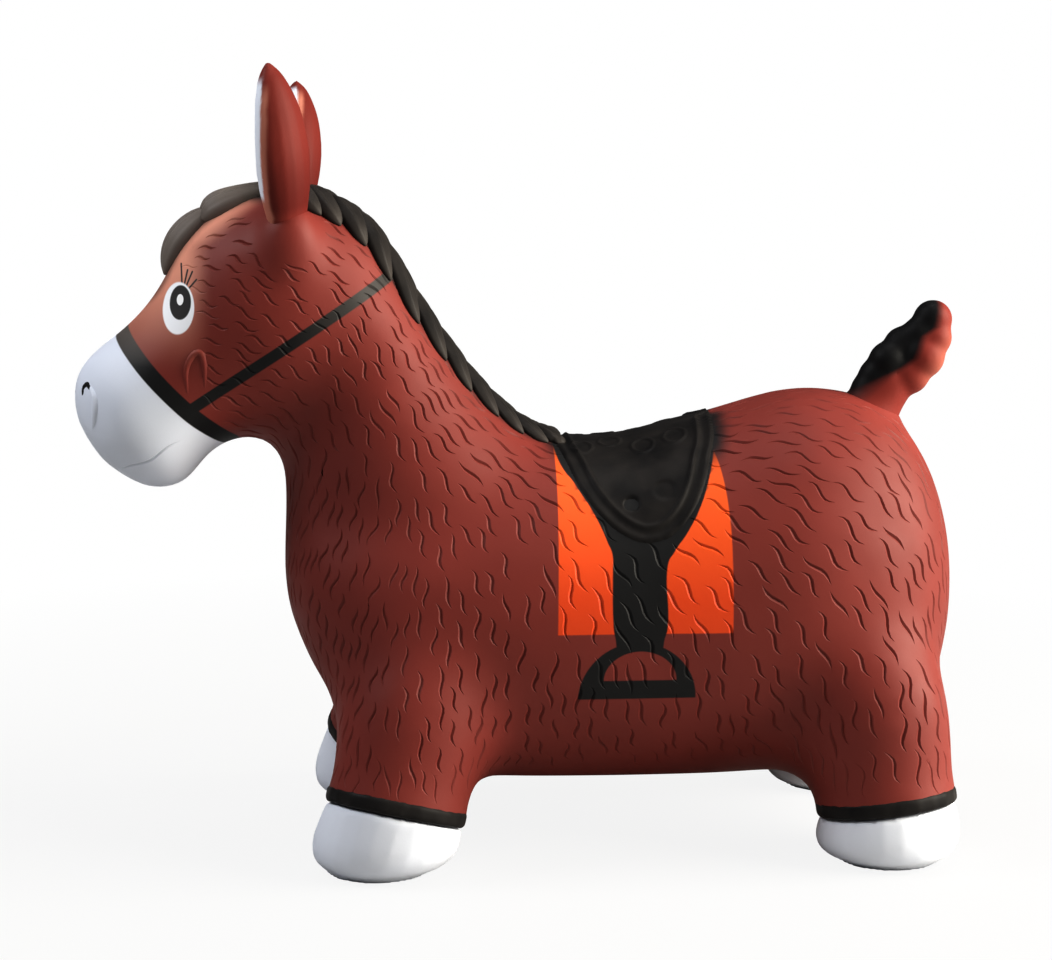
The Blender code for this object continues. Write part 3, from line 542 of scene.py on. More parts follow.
@dataclass(frozen=True)
class Hide(Vinyl):
    """The sprayed hide, with all that is painted on it."""

    uneven: float = 0.14
    groove_shade: float = 0.18
    crisp: float = 0.0008
    cloth_top_fade: float = 0.004
    cloth_pale_fade: float = 0.07
    stirrup_fade: float = 0.02
    opening_fade: float = 0.03
    strap_smoke: float = 0.15
    strap_smoke_fade: float = 0.05
    noseband_smoke: float = 0.5
    noseband_smoke_fade: float = 0.02
    muzzle_fade: float = 0.002
    muzzle_cloud: float = 14.0
    muzzle_shade: float = 0.6
    lash_fade: float = 0.0004
    eye_fade: float = 0.06

    def coat(self, shader: Shader) -> Wire:
        """The brown ground, paler where the mesh says so: on the ears' rims, and as a painted highlight on
        the face and the tail.
        """
        deep, pale = (tuple(share * c for c in HIDE) for share in (1 - self.uneven, 1 + self.uneven))
        return shader.mix(self.cloudy(shader, deep, pale), HIDE_PALE, shader.stored("pale"))

    def sprayed_hide(self) -> bpy.types.Material:
        """Hide with painted shade, soft black and bare white, as the mesh says.

        Returns:
            The material of ears and tail.
        """
        shader = Shader(self.name)
        ground = shader.mix(self.coat(shader), HIDE_SHADE, shader.stored("deep"))
        inked = shader.mix(ground, BLACK, shader.stored("spray"))
        return self.finished(shader, shader.mix(inked, WHITE, shader.stored("bare")))

    def painted_hide(self) -> bpy.types.Material:
        """Hide with bridle, cloth, stirrup, eye and muzzle, and painted shade in the grooves.

        Returns:
            The material of the skin.
        """
        shader = Shader(self.name)
        x, y, z = shader.place()
        colour = self.tack(shader, self.coat(shader), x, z)
        colour = shader.mix(colour, BLACK, shader.stored("spray"))
        colour = self.bridle(shader, colour, x, abs(y), z)
        colour = self.eye(shader, colour, x, z)
        colour = shader.mix(colour, SHADOW, shader.stored("deep") * self.groove_shade)
        return self.finished(shader, colour)

    def between(self, shader: Shader, x: Wire, z: Wire, front: Line2, back: Line2) -> Wire:
        """1 between two edges that are lines of Z and X."""
        return x.above(shader.curve(z, front), self.crisp) * x.below(shader.curve(z, back), self.crisp)

    def tack(self, shader: Shader, colour: Wire, x: Wire, z: Wire) -> Wire:
        """Saddle cloth, flap, leather and stirrup.

        Args:
            shader: of the material.
            colour: what lies below.
            x: place along the horse.
            z: height.

        Returns:
            The colour with the tack on it.
        """
        cloth = self.between(shader, x, z, CLOTH_FRONT, CLOTH_BACK)
        cloth = cloth * z.above(CLOTH_BOTTOM_Z, self.crisp) * z.below(CLOTH_TOP_Z, self.cloth_top_fade)
        orange = shader.mix(ORANGE, ORANGE_PALE, z.above(CLOTH_PALE_Z, self.cloth_pale_fade))
        colour = shader.mix(colour, orange, cloth)
        flap = self.between(shader, x, z, FLAP_FRONT, FLAP_BACK) * z.above(LEATHER_BOTTOM_Z, self.crisp)
        bow = shader.ellipse(x, z, STIRRUP).below(1.0, self.stirrup_fade)
        bow = bow * z.above(STIRRUP_BOTTOM_Z, self.crisp)
        hole = shader.ellipse(x, z, OPENING).below(1.0, self.opening_fade)
        hole = hole * z.above(OPENING.centre[1], self.crisp)
        return shader.mix(colour, BLACK, flap.most(bow * (1.0 - hole)))

    def bridle(self, shader: Shader, colour: Wire, x: Wire, y: Wire, z: Wire) -> Wire:
        """Cheek strap, noseband and white muzzle.

        Args:
            shader: of the material.
            colour: what lies below.
            x: place along the horse.
            y: distance from the middle plane.
            z: height.

        Returns:
            The colour with the bridle and the muzzle on it.
        """
        strap = shader.line(x, z, *STRAP_ENDS).below(STRAP_HALF_WIDTH, self.crisp)
        greyed = shader.mix(BLACK, SMOKE, x.above(STRAP_SMOKE_X, self.strap_smoke_fade) * self.strap_smoke)
        colour = shader.mix(colour, greyed, strap)
        across = y / MUZZLE_HALF_WIDTH
        behind = past_noseband(x, z) + across * across * NOSEBAND_BULGE
        reach = x.below(MUZZLE_BACK_X, self.muzzle_fade)
        top = z.above(NOSEBAND_SMOKE_Z, self.noseband_smoke_fade)
        greyed = shader.mix(BLACK, SMOKE, top * self.noseband_smoke)
        colour = shader.mix(colour, greyed, behind.below(0.0, self.crisp) * reach)
        white = shader.mix(WHITE, WHITE_SHADE, shader.noise(self.muzzle_cloud) * self.muzzle_shade)
        return shader.mix(colour, white, behind.below(-NOSEBAND_WIDTH, self.crisp) * reach)

    def eye(self, shader: Shader, colour: Wire, x: Wire, z: Wire) -> Wire:
        """Eye and lashes.

        Args:
            shader: of the material.
            colour: what lies below.
            x: place along the horse.
            z: height.

        Returns:
            The colour with the eye on it.
        """
        for start, end in LASHES:
            lash = shader.line(x, z, start, end).below(LASH_HALF_WIDTH, self.lash_fade)
            colour = shader.mix(colour, INK, lash)
        for oval, paint in ((EYE, EYE_WHITE), (IRIS, INK), (GLINT, GLINT_WHITE)):
            inside = shader.ellipse(x, z, oval, EYE_TILT).below(1.0, self.eye_fade)
            colour = shader.mix(colour, paint, inside)
        return colour


@dataclass(frozen=True)
class Finishes:
    """The materials of the toy."""

    painted: bpy.types.Material
    hide: bpy.types.Material
    black: bpy.types.Material
    white: bpy.types.Material
    plug: bpy.types.Material

    @classmethod
    def make(cls) -> "Finishes":
        """Builds each material once.

        Returns:
            The materials.
        """
        black = Vinyl("sprayed_black", 0.46, 0.07, grain_scale=900.0, grain_strength=0.10)
        return cls(
            painted=Hide("painted_hide", roughness=0.58, specular=0.26).painted_hide(),
            hide=Hide("sprayed_hide", roughness=0.56, specular=0.12).sprayed_hide(),
            black=black.sprayed(BLACK, SMOKE),
            white=Vinyl("bare_white", roughness=0.46).bare(HOOF_WHITE, HOOF_SHADE),
            plug=Vinyl("plug_vinyl", roughness=0.50).bare(PLUG_GREY, PLUG_SHADE),
        )


# Meshes


def vectors_of(mesh: bpy.types.Mesh, key: str = "co") -> np.ndarray:
    """A vector of every vertex, one row each.

    Args:
        mesh: whose vertices are read.
        key: co for their places, normal for their normals.

    Returns:
        The vectors, as Blender holds them.
    """
    flat = np.empty(len(mesh.vertices) * 3, np.float32)
    mesh.vertices.foreach_get(key, flat)
    return flat.reshape(-1, 3)


def points_of(obj: bpy.types.Object) -> np.ndarray:
    """The object's vertices, one row each."""
    return vectors_of(obj.data).astype(float)


def solid_of(obj: bpy.types.Object) -> Solid:
    """The object's points and faces."""
    return points_of(obj), [tuple(p.vertices) for p in obj.data.polygons]


def store(obj: bpy.types.Object, name: str, values: np.ndarray) -> None:
    """Keeps a number or a vector with every vertex.

    Args:
        obj: whose vertices carry it.
        name: that the shader asks for.
        values: one number or one row for each vertex.
    """
    values = np.asarray(values, np.float32)
    kind, key = ("FLOAT_VECTOR", "vector") if values.ndim == 2 else ("FLOAT", "value")
    attribute = obj.data.attributes.get(name) or obj.data.attributes.new(name, kind, "POINT")
    attribute.data.foreach_set(key, values.ravel())


def store_all(obj: bpy.types.Object, value: float, *names: str) -> None:
    """Keeps one and the same number with every vertex, under each name."""
    for name in names:
        store(obj, name, np.full(len(obj.data.vertices), value))


def make_mesh(name: str, solid: Solid, material: bpy.types.Material) -> bpy.types.Object:
    """A smooth-shaded object that remembers where its points lie at rest.

    Args:
        name: of the object.
        solid: its points and faces.
        material: of its surface.

    Returns:
        The object, in the scene.
    """
    points, faces = solid
    mesh = bpy.data.meshes.new(name)
    mesh.from_pydata([tuple(p) for p in np.asarray(points, float)], [], [tuple(map(int, f)) for f in faces])
    mesh.update()
    mesh.shade_smooth()
    obj = bpy.data.objects.new(name, mesh)
    bpy.context.scene.collection.objects.link(obj)
    mesh.materials.append(material)
    store(obj, "rest", points)
    return obj


def move_points(obj: bpy.types.Object, points: np.ndarray) -> None:
    """Puts the object's vertices somewhere else, where they then rest.

    Args:
        obj: whose vertices move.
        points: their new places.
    """
    obj.data.vertices.foreach_set("co", points.astype(np.float32).ravel())
    obj.data.update()
    store(obj, "rest", points)


def grid_faces(rows: int, columns: int, closed: bool = False) -> list:
    """Quads of a grid whose rows lie one after another.

    Args:
        rows: of points.
        columns: points in a row.
        closed: whether the last point of a row is joined to its first.

    Returns:
        The faces.
    """
    faces = []
    for i in range(rows - 1):
        for k in range(columns if closed else columns - 1):
            a, b = i * columns + k, i * columns + (k + 1) % columns
            faces.append((a, b, b + columns, a + columns))
    return faces


def tube_faces(rows: int, columns: int) -> list:
    """Faces of a tube of rings that lie one after another, closed at both ends.

    Args:
        rows: rings of points.
        columns: points in a ring.

    Returns:
        The faces.
    """
    last = (rows - 1) * columns
    caps = [tuple(range(columns))[::-1], tuple(range(last, last + columns))]
    return grid_faces(rows, columns, closed=True) + caps


def turned_over(faces: list) -> list:
    """The same faces, looking the other way."""
    return [f[::-1] for f in faces]


def joined(solids: Iterable[Solid]) -> Solid:
    """The points and faces of many solids as those of one.

    Args:
        solids: points and faces of each.

    Returns:
        All points and all faces.
    """
    points, faces, base = [], [], 0
    for own, polygons in solids:
        points.append(own)
        faces += [tuple(base + i for i in f) for f in polygons]
        base += len(own)
    return np.vstack(points), faces


def only_used(points: np.ndarray, faces: list) -> tuple[Solid, np.ndarray]:
    """Drops the points that no face uses.

    Args:
        points: one row each.
        faces: that stay.

    Returns:
        The solid that is left, and the numbers of its points before.
    """
    used = np.unique(np.concatenate(faces))
    order = np.full(len(points), -1)
    order[used] = np.arange(len(used))
    return (points[used], [tuple(order[list(f)]) for f in faces]), used


def step(low: float, high: float, values: np.ndarray) -> np.ndarray:
    """0 below low and 1 above high, smooth between them."""
    t = np.clip((values - low) / (high - low), 0.0, 1.0)
    return t * t * (3 - 2 * t)


def fade(low: float, high: float, values: np.ndarray) -> np.ndarray:
    """1 below low and 0 above high, smooth between them."""
    return 1 - step(low, high, values)


def hump(values: np.ndarray, middle: float, width: float) -> np.ndarray:
    """1 in the middle, falling to nothing over a few widths."""
    return np.exp(-(((values - middle) / width) ** 2))


def spline(points: np.ndarray, count: int) -> np.ndarray:
    """A smooth line through points.

    Args:
        points: one row each.
        count: of points on the new line, spread evenly between the old ones.

    Returns:
        The new line, one row for each point.
    """
    points = np.asarray(points, float)
    padded = np.vstack([2 * points[0] - points[1], points, 2 * points[-1] - points[-2]])
    out = []
    for share in np.linspace(0, len(points) - 1, count):
        i = min(int(share), len(points) - 2)
        t = share - i
        a, b, c, d = padded[i : i + 4]
        square, cube = 2 * a - 5 * b + 4 * c - d, 3 * b - a - 3 * c + d
        out.append(0.5 * (2 * b + (c - a) * t + square * t**2 + cube * t**3))
    return np.array(out)


def distance_to(points: np.ndarray, line: np.ndarray) -> np.ndarray:
    """Measures from each point to the closest point of a line.

    Args:
        points: one row each.
        line: its points, one row each.

    Returns:
        A distance for each point.
    """
    best = np.full(len(points), FAR)
    for p in line:
        best = np.minimum(best, np.linalg.norm(points - p, axis=1))
    return best


def remeshed(
    name: str, sources: Iterable[Solid], voxel: float, passes: int, material: bpy.types.Material
) -> bpy.types.Object:
    """Runs solids together into one smooth skin.

    Args:
        name: of the new object.
        sources: points and faces of each solid.
        voxel: size of the new facets.
        passes: of smoothing.
        material: of the new object.

    Returns:
        The new object, with only its outer shell.
    """
    rough = make_mesh(name + "_rough", joined(sources), material)
    remesh = rough.modifiers.new("Run together", "REMESH")
    remesh.mode = "VOXEL"
    remesh.voxel_size = voxel
    soften = rough.modifiers.new("Soften", "SMOOTH")
    soften.factor = 0.5
    soften.iterations = passes
    mesh = evaluated(rough)
    bpy.data.objects.remove(rough)
    shell = largest_shell(mesh)
    faces = [tuple(p.vertices) for p in mesh.polygons if shell[p.vertices[0]]]
    solid, _ = only_used(vectors_of(mesh), faces)
    bpy.data.meshes.remove(mesh)
    return make_mesh(name, solid, material)


def evaluated(obj: bpy.types.Object) -> bpy.types.Mesh:
    """A new mesh with the object's modifiers worked out."""
    graph = bpy.context.evaluated_depsgraph_get()
    return bpy.data.meshes.new_from_object(obj.evaluated_get(graph))


def largest_shell(mesh: bpy.types.Mesh) -> np.ndarray:
    """Finds the largest connected part of a mesh.

    Args:
        mesh: of one or more parts.

    Returns:
        Which vertices belong to that part.
    """
    edges = np.empty(len(mesh.edges) * 2, np.int32)
    mesh.edges.foreach_get("vertices", edges)
    edges = edges.reshape(-1, 2)
    group = np.arange(len(mesh.vertices))
    while True:
        low = np.minimum(group[edges[:, 0]], group[edges[:, 1]])
        merged = group.copy()
        np.minimum.at(merged, edges[:, 0], low)
        np.minimum.at(merged, edges[:, 1], low)
        merged = merged[merged]
        if (merged == group).all():
            break
        group = merged
    names, counts = np.unique(group, return_counts=True)
    return group == names[counts.argmax()]


def carved(
    skin: bpy.types.Object, cutter: bpy.types.Object, name: str, material: bpy.types.Material
) -> bpy.types.Object:
    """Takes cutters out of the skin. Both old objects go.

    Args:
        skin: what is cut.
        cutter: all the cutters, as one object.
        name: of the new object.
        material: of the new object.

    Returns:
        The carved skin.
    """
    cut = skin.modifiers.new("Carve", "BOOLEAN")
    cut.operation = "DIFFERENCE"
    cut.solver = "MANIFOLD"
    cut.object = cutter
    mesh = evaluated(skin)
    solid = vectors_of(mesh), [tuple(p.vertices) for p in mesh.polygons]
    for old in (cutter, skin):
        bpy.data.objects.remove(old)
    bpy.data.meshes.remove(mesh)
    return make_mesh(name, solid, material)


def ball(centre: tuple, radii: tuple, segments: int = 24, pole: float = 0.03) -> Solid:
    """An ellipsoid.

    Args:
        centre: its middle.
        radii: along X, Y and Z.
        segments: points round it.
        pole: angle of the flat spot at each pole.

    Returns:
        Its points and faces.
    """
    rows = segments // 2
    turns = np.linspace(0, 2 * np.pi, segments, endpoint=False)
    points = []
    for tilt in np.linspace(pole, np.pi - pole, rows):
        for turn in turns:
            x = centre[0] + radii[0] * math.sin(tilt) * math.cos(turn)
            y = centre[1] + radii[1] * math.sin(tilt) * math.sin(turn)
            points.append((x, y, centre[2] - radii[2] * math.cos(tilt)))
    return np.array(points), tube_faces(rows, segments)


def turned(profile: Line2, base: np.ndarray, axes: np.ndarray, turns: int = 40, capped: bool = True) -> Solid:
    """A turned solid.

    Args:
        profile: heights and radii along its axis.
        base: where its height is 0.
        axes: two ways across it and the way up, as rows.
        turns: points round it.
        capped: whether its ends are closed.

    Returns:
        Its points and faces.
    """
    points = []
    for height, radius in profile:
        for t in np.linspace(0, 2 * np.pi, turns, endpoint=False):
            out = axes[0] * (radius * math.cos(t)) + axes[1] * (radius * math.sin(t))
            points.append(base + out + axes[2] * height)
    faces = tube_faces(len(profile), turns) if capped else grid_faces(len(profile), turns, closed=True)
    return np.array(points), faces


class Ground:
    """The smooth skin as something to lay other pieces on."""

    CAST_FROM = 0.6

    def __init__(self, skin: bpy.types.Object) -> None:
        """Keeps the skin's points, faces and normals.

        Args:
            skin: the smooth skin.
        """
        self.points, self.polygons = solid_of(skin)
        self.tree = BVHTree.FromPolygons([tuple(p) for p in self.points], self.polygons)
        self.normals = vectors_of(skin.data, "normal").astype(float)

    def smooth_normal(self, place: Vector, index: int) -> np.ndarray:
        """The skin's normal, blended from the corners of a face.

        Args:
            place: a point of the face.
            index: of the face.

        Returns:
            The normal.
        """
        corners = list(self.polygons[index])
        weight = 1.0 / (np.linalg.norm(self.points[corners] - np.array(place), axis=1) + 1e-5)
        normal = (self.normals[corners] * weight[:, None]).sum(0)
        return normal / np.linalg.norm(normal)

    def nearest(self, point: np.ndarray) -> tuple[np.ndarray, np.ndarray]:
        """The closest point of the skin and its normal."""
        place, _, index, _ = self.tree.find_nearest(Vector(point))
        return np.array(place), self.smooth_normal(place, index)

    def cast(self, start: tuple, aim: tuple) -> tuple[np.ndarray, np.ndarray]:
        """Follows a ray to the skin.

        Args:
            start: of the ray.
            aim: its direction.

        Returns:
            Where it first meets the skin, or else the closest point to its start, and the normal there.
        """
        place, _, index, _ = self.tree.ray_cast(Vector(start), Vector(aim).normalized())
        if place is None:
            return self.nearest(np.array(start))
        return np.array(place), self.smooth_normal(place, index)

    def beside(self, x: float, z: float, side: Side) -> np.ndarray:
        """Finds a place seen from one side.

        Args:
            x: place along the horse.
            z: height.
            side: that it is seen from.

        Returns:
            The point of the skin.
        """
        start, aim = Vector((x, self.CAST_FROM * side.value, z)), Vector((0, -side.value, 0))
        place = self.tree.ray_cast(start, aim)[0]
        if place is None:
            return self.nearest(np.array((x, 0.02 * side.value, z)))[0]
        return np.array(place)

    def line_beside(self, line: Line2, side: Side, count: int = 18) -> np.ndarray:
        """A smooth line on one side of the skin, through points of X and Z."""
        return np.array([self.beside(x, z, side) for x, z in spline(np.array(line), count)])

    def laid(self, path: np.ndarray) -> tuple[np.ndarray, np.ndarray, np.ndarray]:
        """Lays a line on the skin.

        Args:
            path: points near the skin.

        Returns:
            The points on the skin, the normals there and the ways across the line.
        """
        rows = [self.nearest(p) for p in path]
        middle = np.array([p for p, _ in rows])
        normal = np.array([n for _, n in rows])
        across = np.cross(normal, np.gradient(middle, axis=0))
        across /= np.linalg.norm(across, axis=1)[:, None] + 1e-12
        return middle, normal, across


def tapered(count: int, power: float, least: float) -> np.ndarray:
    """Shares along a line, from 1 in its middle to the least at its ends."""
    return np.clip(1.0 - np.abs(np.linspace(-1, 1, count)) ** power, least, 1.0)


@dataclass
class Bead:
    """A raised line on the skin, half round and tapered."""

    path: np.ndarray
    half_width: float
    height: float
    section: Line2 = ((-1.0, -0.25), (-0.55, 0.60), (0.0, 1.0), (0.55, 0.60), (1.0, -0.25))
    sunk: float = 0.00005
    end_width: float = 0.35

    def build(self, ground: Ground) -> Solid:
        """Lays the line on the skin.

        Args:
            ground: the skin.

        Returns:
            Points and faces of the line.
        """
        middle, normal, across = ground.laid(self.path)
        points = []
        for place, up, side, share in zip(middle, normal, across, tapered(len(middle), 2.6, 0.06)):
            wide = self.half_width * (self.end_width + (1 - self.end_width) * share)
            for offset, lift in self.section:
                points.append(place + side * (offset * wide) + up * (lift * self.height * share - self.sunk))
        return np.array(points), turned_over(grid_faces(len(middle), len(self.section)))


@dataclass
class Groove:
    """A tapered groove in the skin, as the solid that cuts it."""

    path: np.ndarray
    half_width: float
    depth: float
    lid: float = 0.0008

    def build(self, ground: Ground) -> Solid:
        """Stands a wedge in the skin, with its lid above it.

        Args:
            ground: the skin.

        Returns:
            Points and faces of the wedge.
        """
        middle, normal, across = ground.laid(self.path)
        points = []
        for place, up, side, share in zip(middle, normal, across, tapered(len(middle), 2.2, 0.12)):
            wide = self.half_width * (share + self.lid / self.depth)
            points.append(place + side * wide + up * self.lid)
            points.append(place - up * (self.depth * share))
            points.append(place - side * wide + up * self.lid)
        return np.array(points), turned_over(tube_faces(len(middle), 3))


@dataclass
class Lock:
    """A thick lock of hair, laid on the skin along a line."""

    path: np.ndarray
    half_width: float
    height: float
    rows: int = 26
    columns: int = 28
    late: float = 1.0
    strands: int = 7
    strand_depth: float = 0.24
    sunk: float = 0.10

    def swell(self, share: float) -> float:
        """How thick the lock is at a share of its length."""
        along = min(1.0, 0.16 + 0.84 * share**self.late)
        return max(0.05, math.sin(math.pi * along) ** 0.65)

    def build(self, ground: Ground) -> Solid:
        """Lays the lock on the skin.

        Args:
            ground: the skin.

        Returns:
            Points and faces of the lock.
        """
        line = spline(self.path, self.rows)
        ahead = np.gradient(line, axis=0)
        points = []
        for i, share in enumerate(np.linspace(0, 1, self.rows)):
            place, normal = ground.nearest(line[i])
            across = np.cross(normal, ahead[i])
            across /= np.linalg.norm(across) + 1e-12
            swell = self.swell(share)
            for k in range(self.columns):
                turn = 2 * math.pi * k / self.columns
                groove = 1.0 - self.strand_depth * (0.5 + 0.5 * math.cos(self.strands * turn + 1.0)) * swell
                out = math.cos(turn) * self.half_width * swell
                lift = math.sin(turn) * self.height * swell * groove
                points.append(place + across * out + normal * (lift + self.sunk * self.height))
        return np.array(points), tube_faces(self.rows, self.columns)

    def thin(self) -> np.ndarray:
        """How much smoke the paint shows: most on top, near the ends, where it is sprayed thinnest.

        Returns:
            A share for each point.
        """
        up = np.maximum(0.0, np.sin(2 * np.pi * np.arange(self.columns) / self.columns))
        ends = np.array([1 - self.swell(share) for share in np.linspace(0, 1, self.rows)])
        return (0.10 + 0.25 * np.outer(ends, up)).ravel()


# The horse

EAR_CLEAR = 0.030
TAIL_CLEAR = (0.250, 0.0, 0.300, 0.030)
VALVE_CLEAR = 0.020
SENSOR = 36.0
FOCAL_PIXELS = 2325
PHOTO_PIXELS = 1052
FEET = tuple(f"{end}_{side.name.lower()}" for end in ("front", "hind") for side in Side)


def valve_face() -> Vector:
    """The middle of the valve seat's outer face."""
    low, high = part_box("valve_seat")
    return Vector((high.x, (low.y + high.y) / 2, (low.z + high.z) / 2))


def ear_root(side: Side) -> Vector:
    """The middle of an ear's root."""
    low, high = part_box(f"{side.name.lower()}_ear_root")
    return (low + high) / 2


@dataclass
class Spray:
    """Soft black that was sprayed on mane, saddle and forelock, and drifts onto the skin."""

    crest: np.ndarray
    brow: np.ndarray
    rim: np.ndarray
    crest_reach: Point2 = (0.019, 0.034)
    brow_reach: Point2 = (0.014, 0.026)
    brow_share: float = 0.55
    rim_reach: Point2 = (0.001, 0.013)
    rim_heights: Point2 = (0.258, 0.274)
    # The painted highlight on the front of the face: its share, its soft edge and the heights it fades in
    # over.
    face_highlight_share: float = 0.90
    face_highlight_edge: Point2 = (-0.012, 0.010)
    face_highlight_heights: Point2 = (0.322, 0.392)
    face_x: float = -0.213
    face_slope: float = 1.2
    face_bend_z: float = 0.405

    def black(self, points: np.ndarray) -> np.ndarray:
        """How black the skin is.

        Args:
            points: of the skin.

        Returns:
            A share for each point.
        """
        mane = fade(*self.crest_reach, distance_to(points, spline(self.crest, 60)))
        brow = self.brow_share * fade(*self.brow_reach, distance_to(points, spline(self.brow, 30)))
        rim = fade(*self.rim_reach, distance_to(points, self.rim)) * step(*self.rim_heights, points[:, 2])
        seat = (points[:, 2] > saddle_edge(points[:, 0])).astype(float)
        return np.maximum(np.maximum(mane, brow), np.maximum(rim, seat))

    def pale(self, points: np.ndarray) -> np.ndarray:
        """How much paler the front of the face is: a painted highlight.

        Args:
            points: of the skin.

        Returns:
            A share for each point.
        """
        x, z = points[:, 0], points[:, 2]
        edge = self.face_x + self.face_slope * np.maximum(z - self.face_bend_z, 0)
        return self.face_highlight_share * fade(*self.face_highlight_edge, x - edge) * step(*self.face_highlight_heights, z)


@dataclass
class Coat:
    """The grooves between the hairs, spread evenly over the skin."""

    ground: Ground
    blank: np.ndarray
    seed: int = 7
    seeds: int = 26000
    groove_points: int = 8
    gap_along: float = 0.0262
    gap_across: float = 0.0082
    gap_above: float = 0.02
    lengths: Point2 = (0.0205, 0.0270)
    half_widths: Point2 = (0.00135, 0.00165)
    depth: float = 0.00115
    swings: Point2 = (0.05, 0.11)
    swing_same: float = 0.85
    swing_back: float = -0.6
    lean: float = 0.09
    flow_near: float = 0.016
    flow_wide: float = 0.060
    flow_wide_share: float = 0.004
    least_height: float = 0.12
    face_edge: Point2 = (-0.212, -0.196)
    face_slope: float = 0.35
    face_bend_z: float = 0.36
    jaw_edge: Point2 = (0.002, 0.012)
    jaw_back: Point2 = (-0.190, -0.175)
    seat_edge: Point2 = (-0.008, -0.002)
    foot_edge: Point2 = (0.052, 0.100)
    sizes: Line2 = ((-0.15, 0.80), (-0.02, 0.88), (0.03, 1.0))
    back_z: Point2 = (0.295, 0.325)
    back_less: float = 0.14
    croup_z: Point2 = (0.27, 0.30)
    croup_x: Point2 = (0.10, 0.14)
    croup_less: float = 0.16
    faint: float = 0.42
    faint_z: Point2 = (0.20, 0.29)
    faint_x: Point2 = (0.13, 0.19)

    def flow(self, points: np.ndarray) -> np.ndarray:
        """How the hairs run, as an angle below the horizontal.

        Args:
            points: of the skin.

        Returns:
            An angle for each point.
        """
        table = np.array(HAIR_FLOW)
        gap = (points[:, None, 0] - table[None, :, 0]) ** 2 + (points[:, None, 2] - table[None, :, 1]) ** 2
        wide = np.exp(-gap / (2 * self.flow_wide**2)) * self.flow_wide_share
        weight = np.exp(-gap / (2 * self.flow_near**2)) + wide + 1e-12
        return np.radians((weight * table[None, :, 2]).sum(1) / weight.sum(1))

    def height(self, points: np.ndarray) -> np.ndarray:
        """Height of the hairs, from none to full.

        Args:
            points: of the skin.

        Returns:
            A share for each point: none on the face, the muzzle, the seat and the feet.
        """
        x, _, z = points.T
        face = step(*self.face_edge, x + self.face_slope * np.maximum(z - self.face_bend_z, 0))
        jaw = np.maximum(step(*self.jaw_edge, past_noseband(x, z)), step(*self.jaw_back, x))
        return face * jaw * fade(*self.seat_edge, z - saddle_edge(x)) * step(*self.foot_edge, z)

    def size(self, points: np.ndarray) -> np.ndarray:
        """Size of the hairs: smaller on the head, the neck and the croup.

        Args:
            points: of the skin.

        Returns:
            A share for each point.
        """
        x, _, z = points.T
        croup = step(*self.croup_z, z) * step(*self.croup_x, x)
        less = 1 - self.back_less * step(*self.back_z, z) - self.croup_less * croup
        return np.interp(x, *zip(*self.sizes)) * less

    def spread(self, order: np.ndarray, points: np.ndarray, axes: tuple, small: np.ndarray) -> list[int]:
        """Picks places that lie far enough from each other.

        Args:
            order: numbers of the places, in the order in which they are tried.
            points: the places.
            axes: the ways along, across and out of the skin at each place.
            small: size of the hair at each place.

        Returns:
            The numbers of the places that are kept.
        """
        down, across, normals = axes
        kept: list[int] = []
        for i in order:
            if kept:
                gap = points[kept] - points[i]
                along = gap @ down[i] / (self.gap_along * small[i])
                beside = gap @ across[i] / (self.gap_across * small[i])
                above = gap @ normals[i] / self.gap_above
                if (along**2 + beside**2 + above**2).min() < 1.0:
                    continue
            kept.append(i)
        return kept

    def build(self) -> list[Groove]:
        """Spreads the grooves and gives each its own bend.

        Returns:
            The grooves.
        """
        rng = np.random.default_rng(self.seed)
        pick = rng.permutation(len(self.ground.points))[: self.seeds]
        points, normals = self.ground.points[pick], self.ground.normals[pick]
        high, turn, small = self.height(points), self.flow(points), self.size(points)
        clear = high > self.least_height
        for spot in self.blank:
            clear &= np.linalg.norm(points - spot[:3], axis=1) > spot[3]
        down = np.stack([np.cos(turn), np.zeros_like(turn), -np.sin(turn)], axis=1)
        down -= normals * (down * normals).sum(1)[:, None]
        down /= np.linalg.norm(down, axis=1)[:, None] + 1e-9
        across = np.cross(normals, down)
        faint = 1 - self.faint * step(*self.faint_z, points[:, 2]) * step(*self.faint_x, points[:, 0])
        share = np.linspace(-1, 1, self.groove_points)
        grooves = []
        for i in self.spread(np.flatnonzero(clear), points, (down, across, normals), small):
            length = small[i] * rng.uniform(*self.lengths)
            swing = np.sign(points[i, 1] + 1e-9) * rng.uniform(*self.swings)
            swing *= 1 if rng.uniform() < self.swing_same else self.swing_back
            bend = swing * length * np.sin(np.pi * share + rng.uniform(-0.5, 0.5))
            sideways = bend + math.tan(rng.normal(0.0, self.lean)) * share * length / 2
            path = points[i] + np.outer(share * length / 2, down[i]) + np.outer(sideways, across[i])
            strong = min(1.0, 0.35 + high[i]) * (0.4 + 0.6 * small[i]) * faint[i]
            half_width = rng.uniform(*self.half_widths) * (0.4 + 0.6 * strong)
            grooves.append(Groove(path, half_width, self.depth * strong))
        return grooves


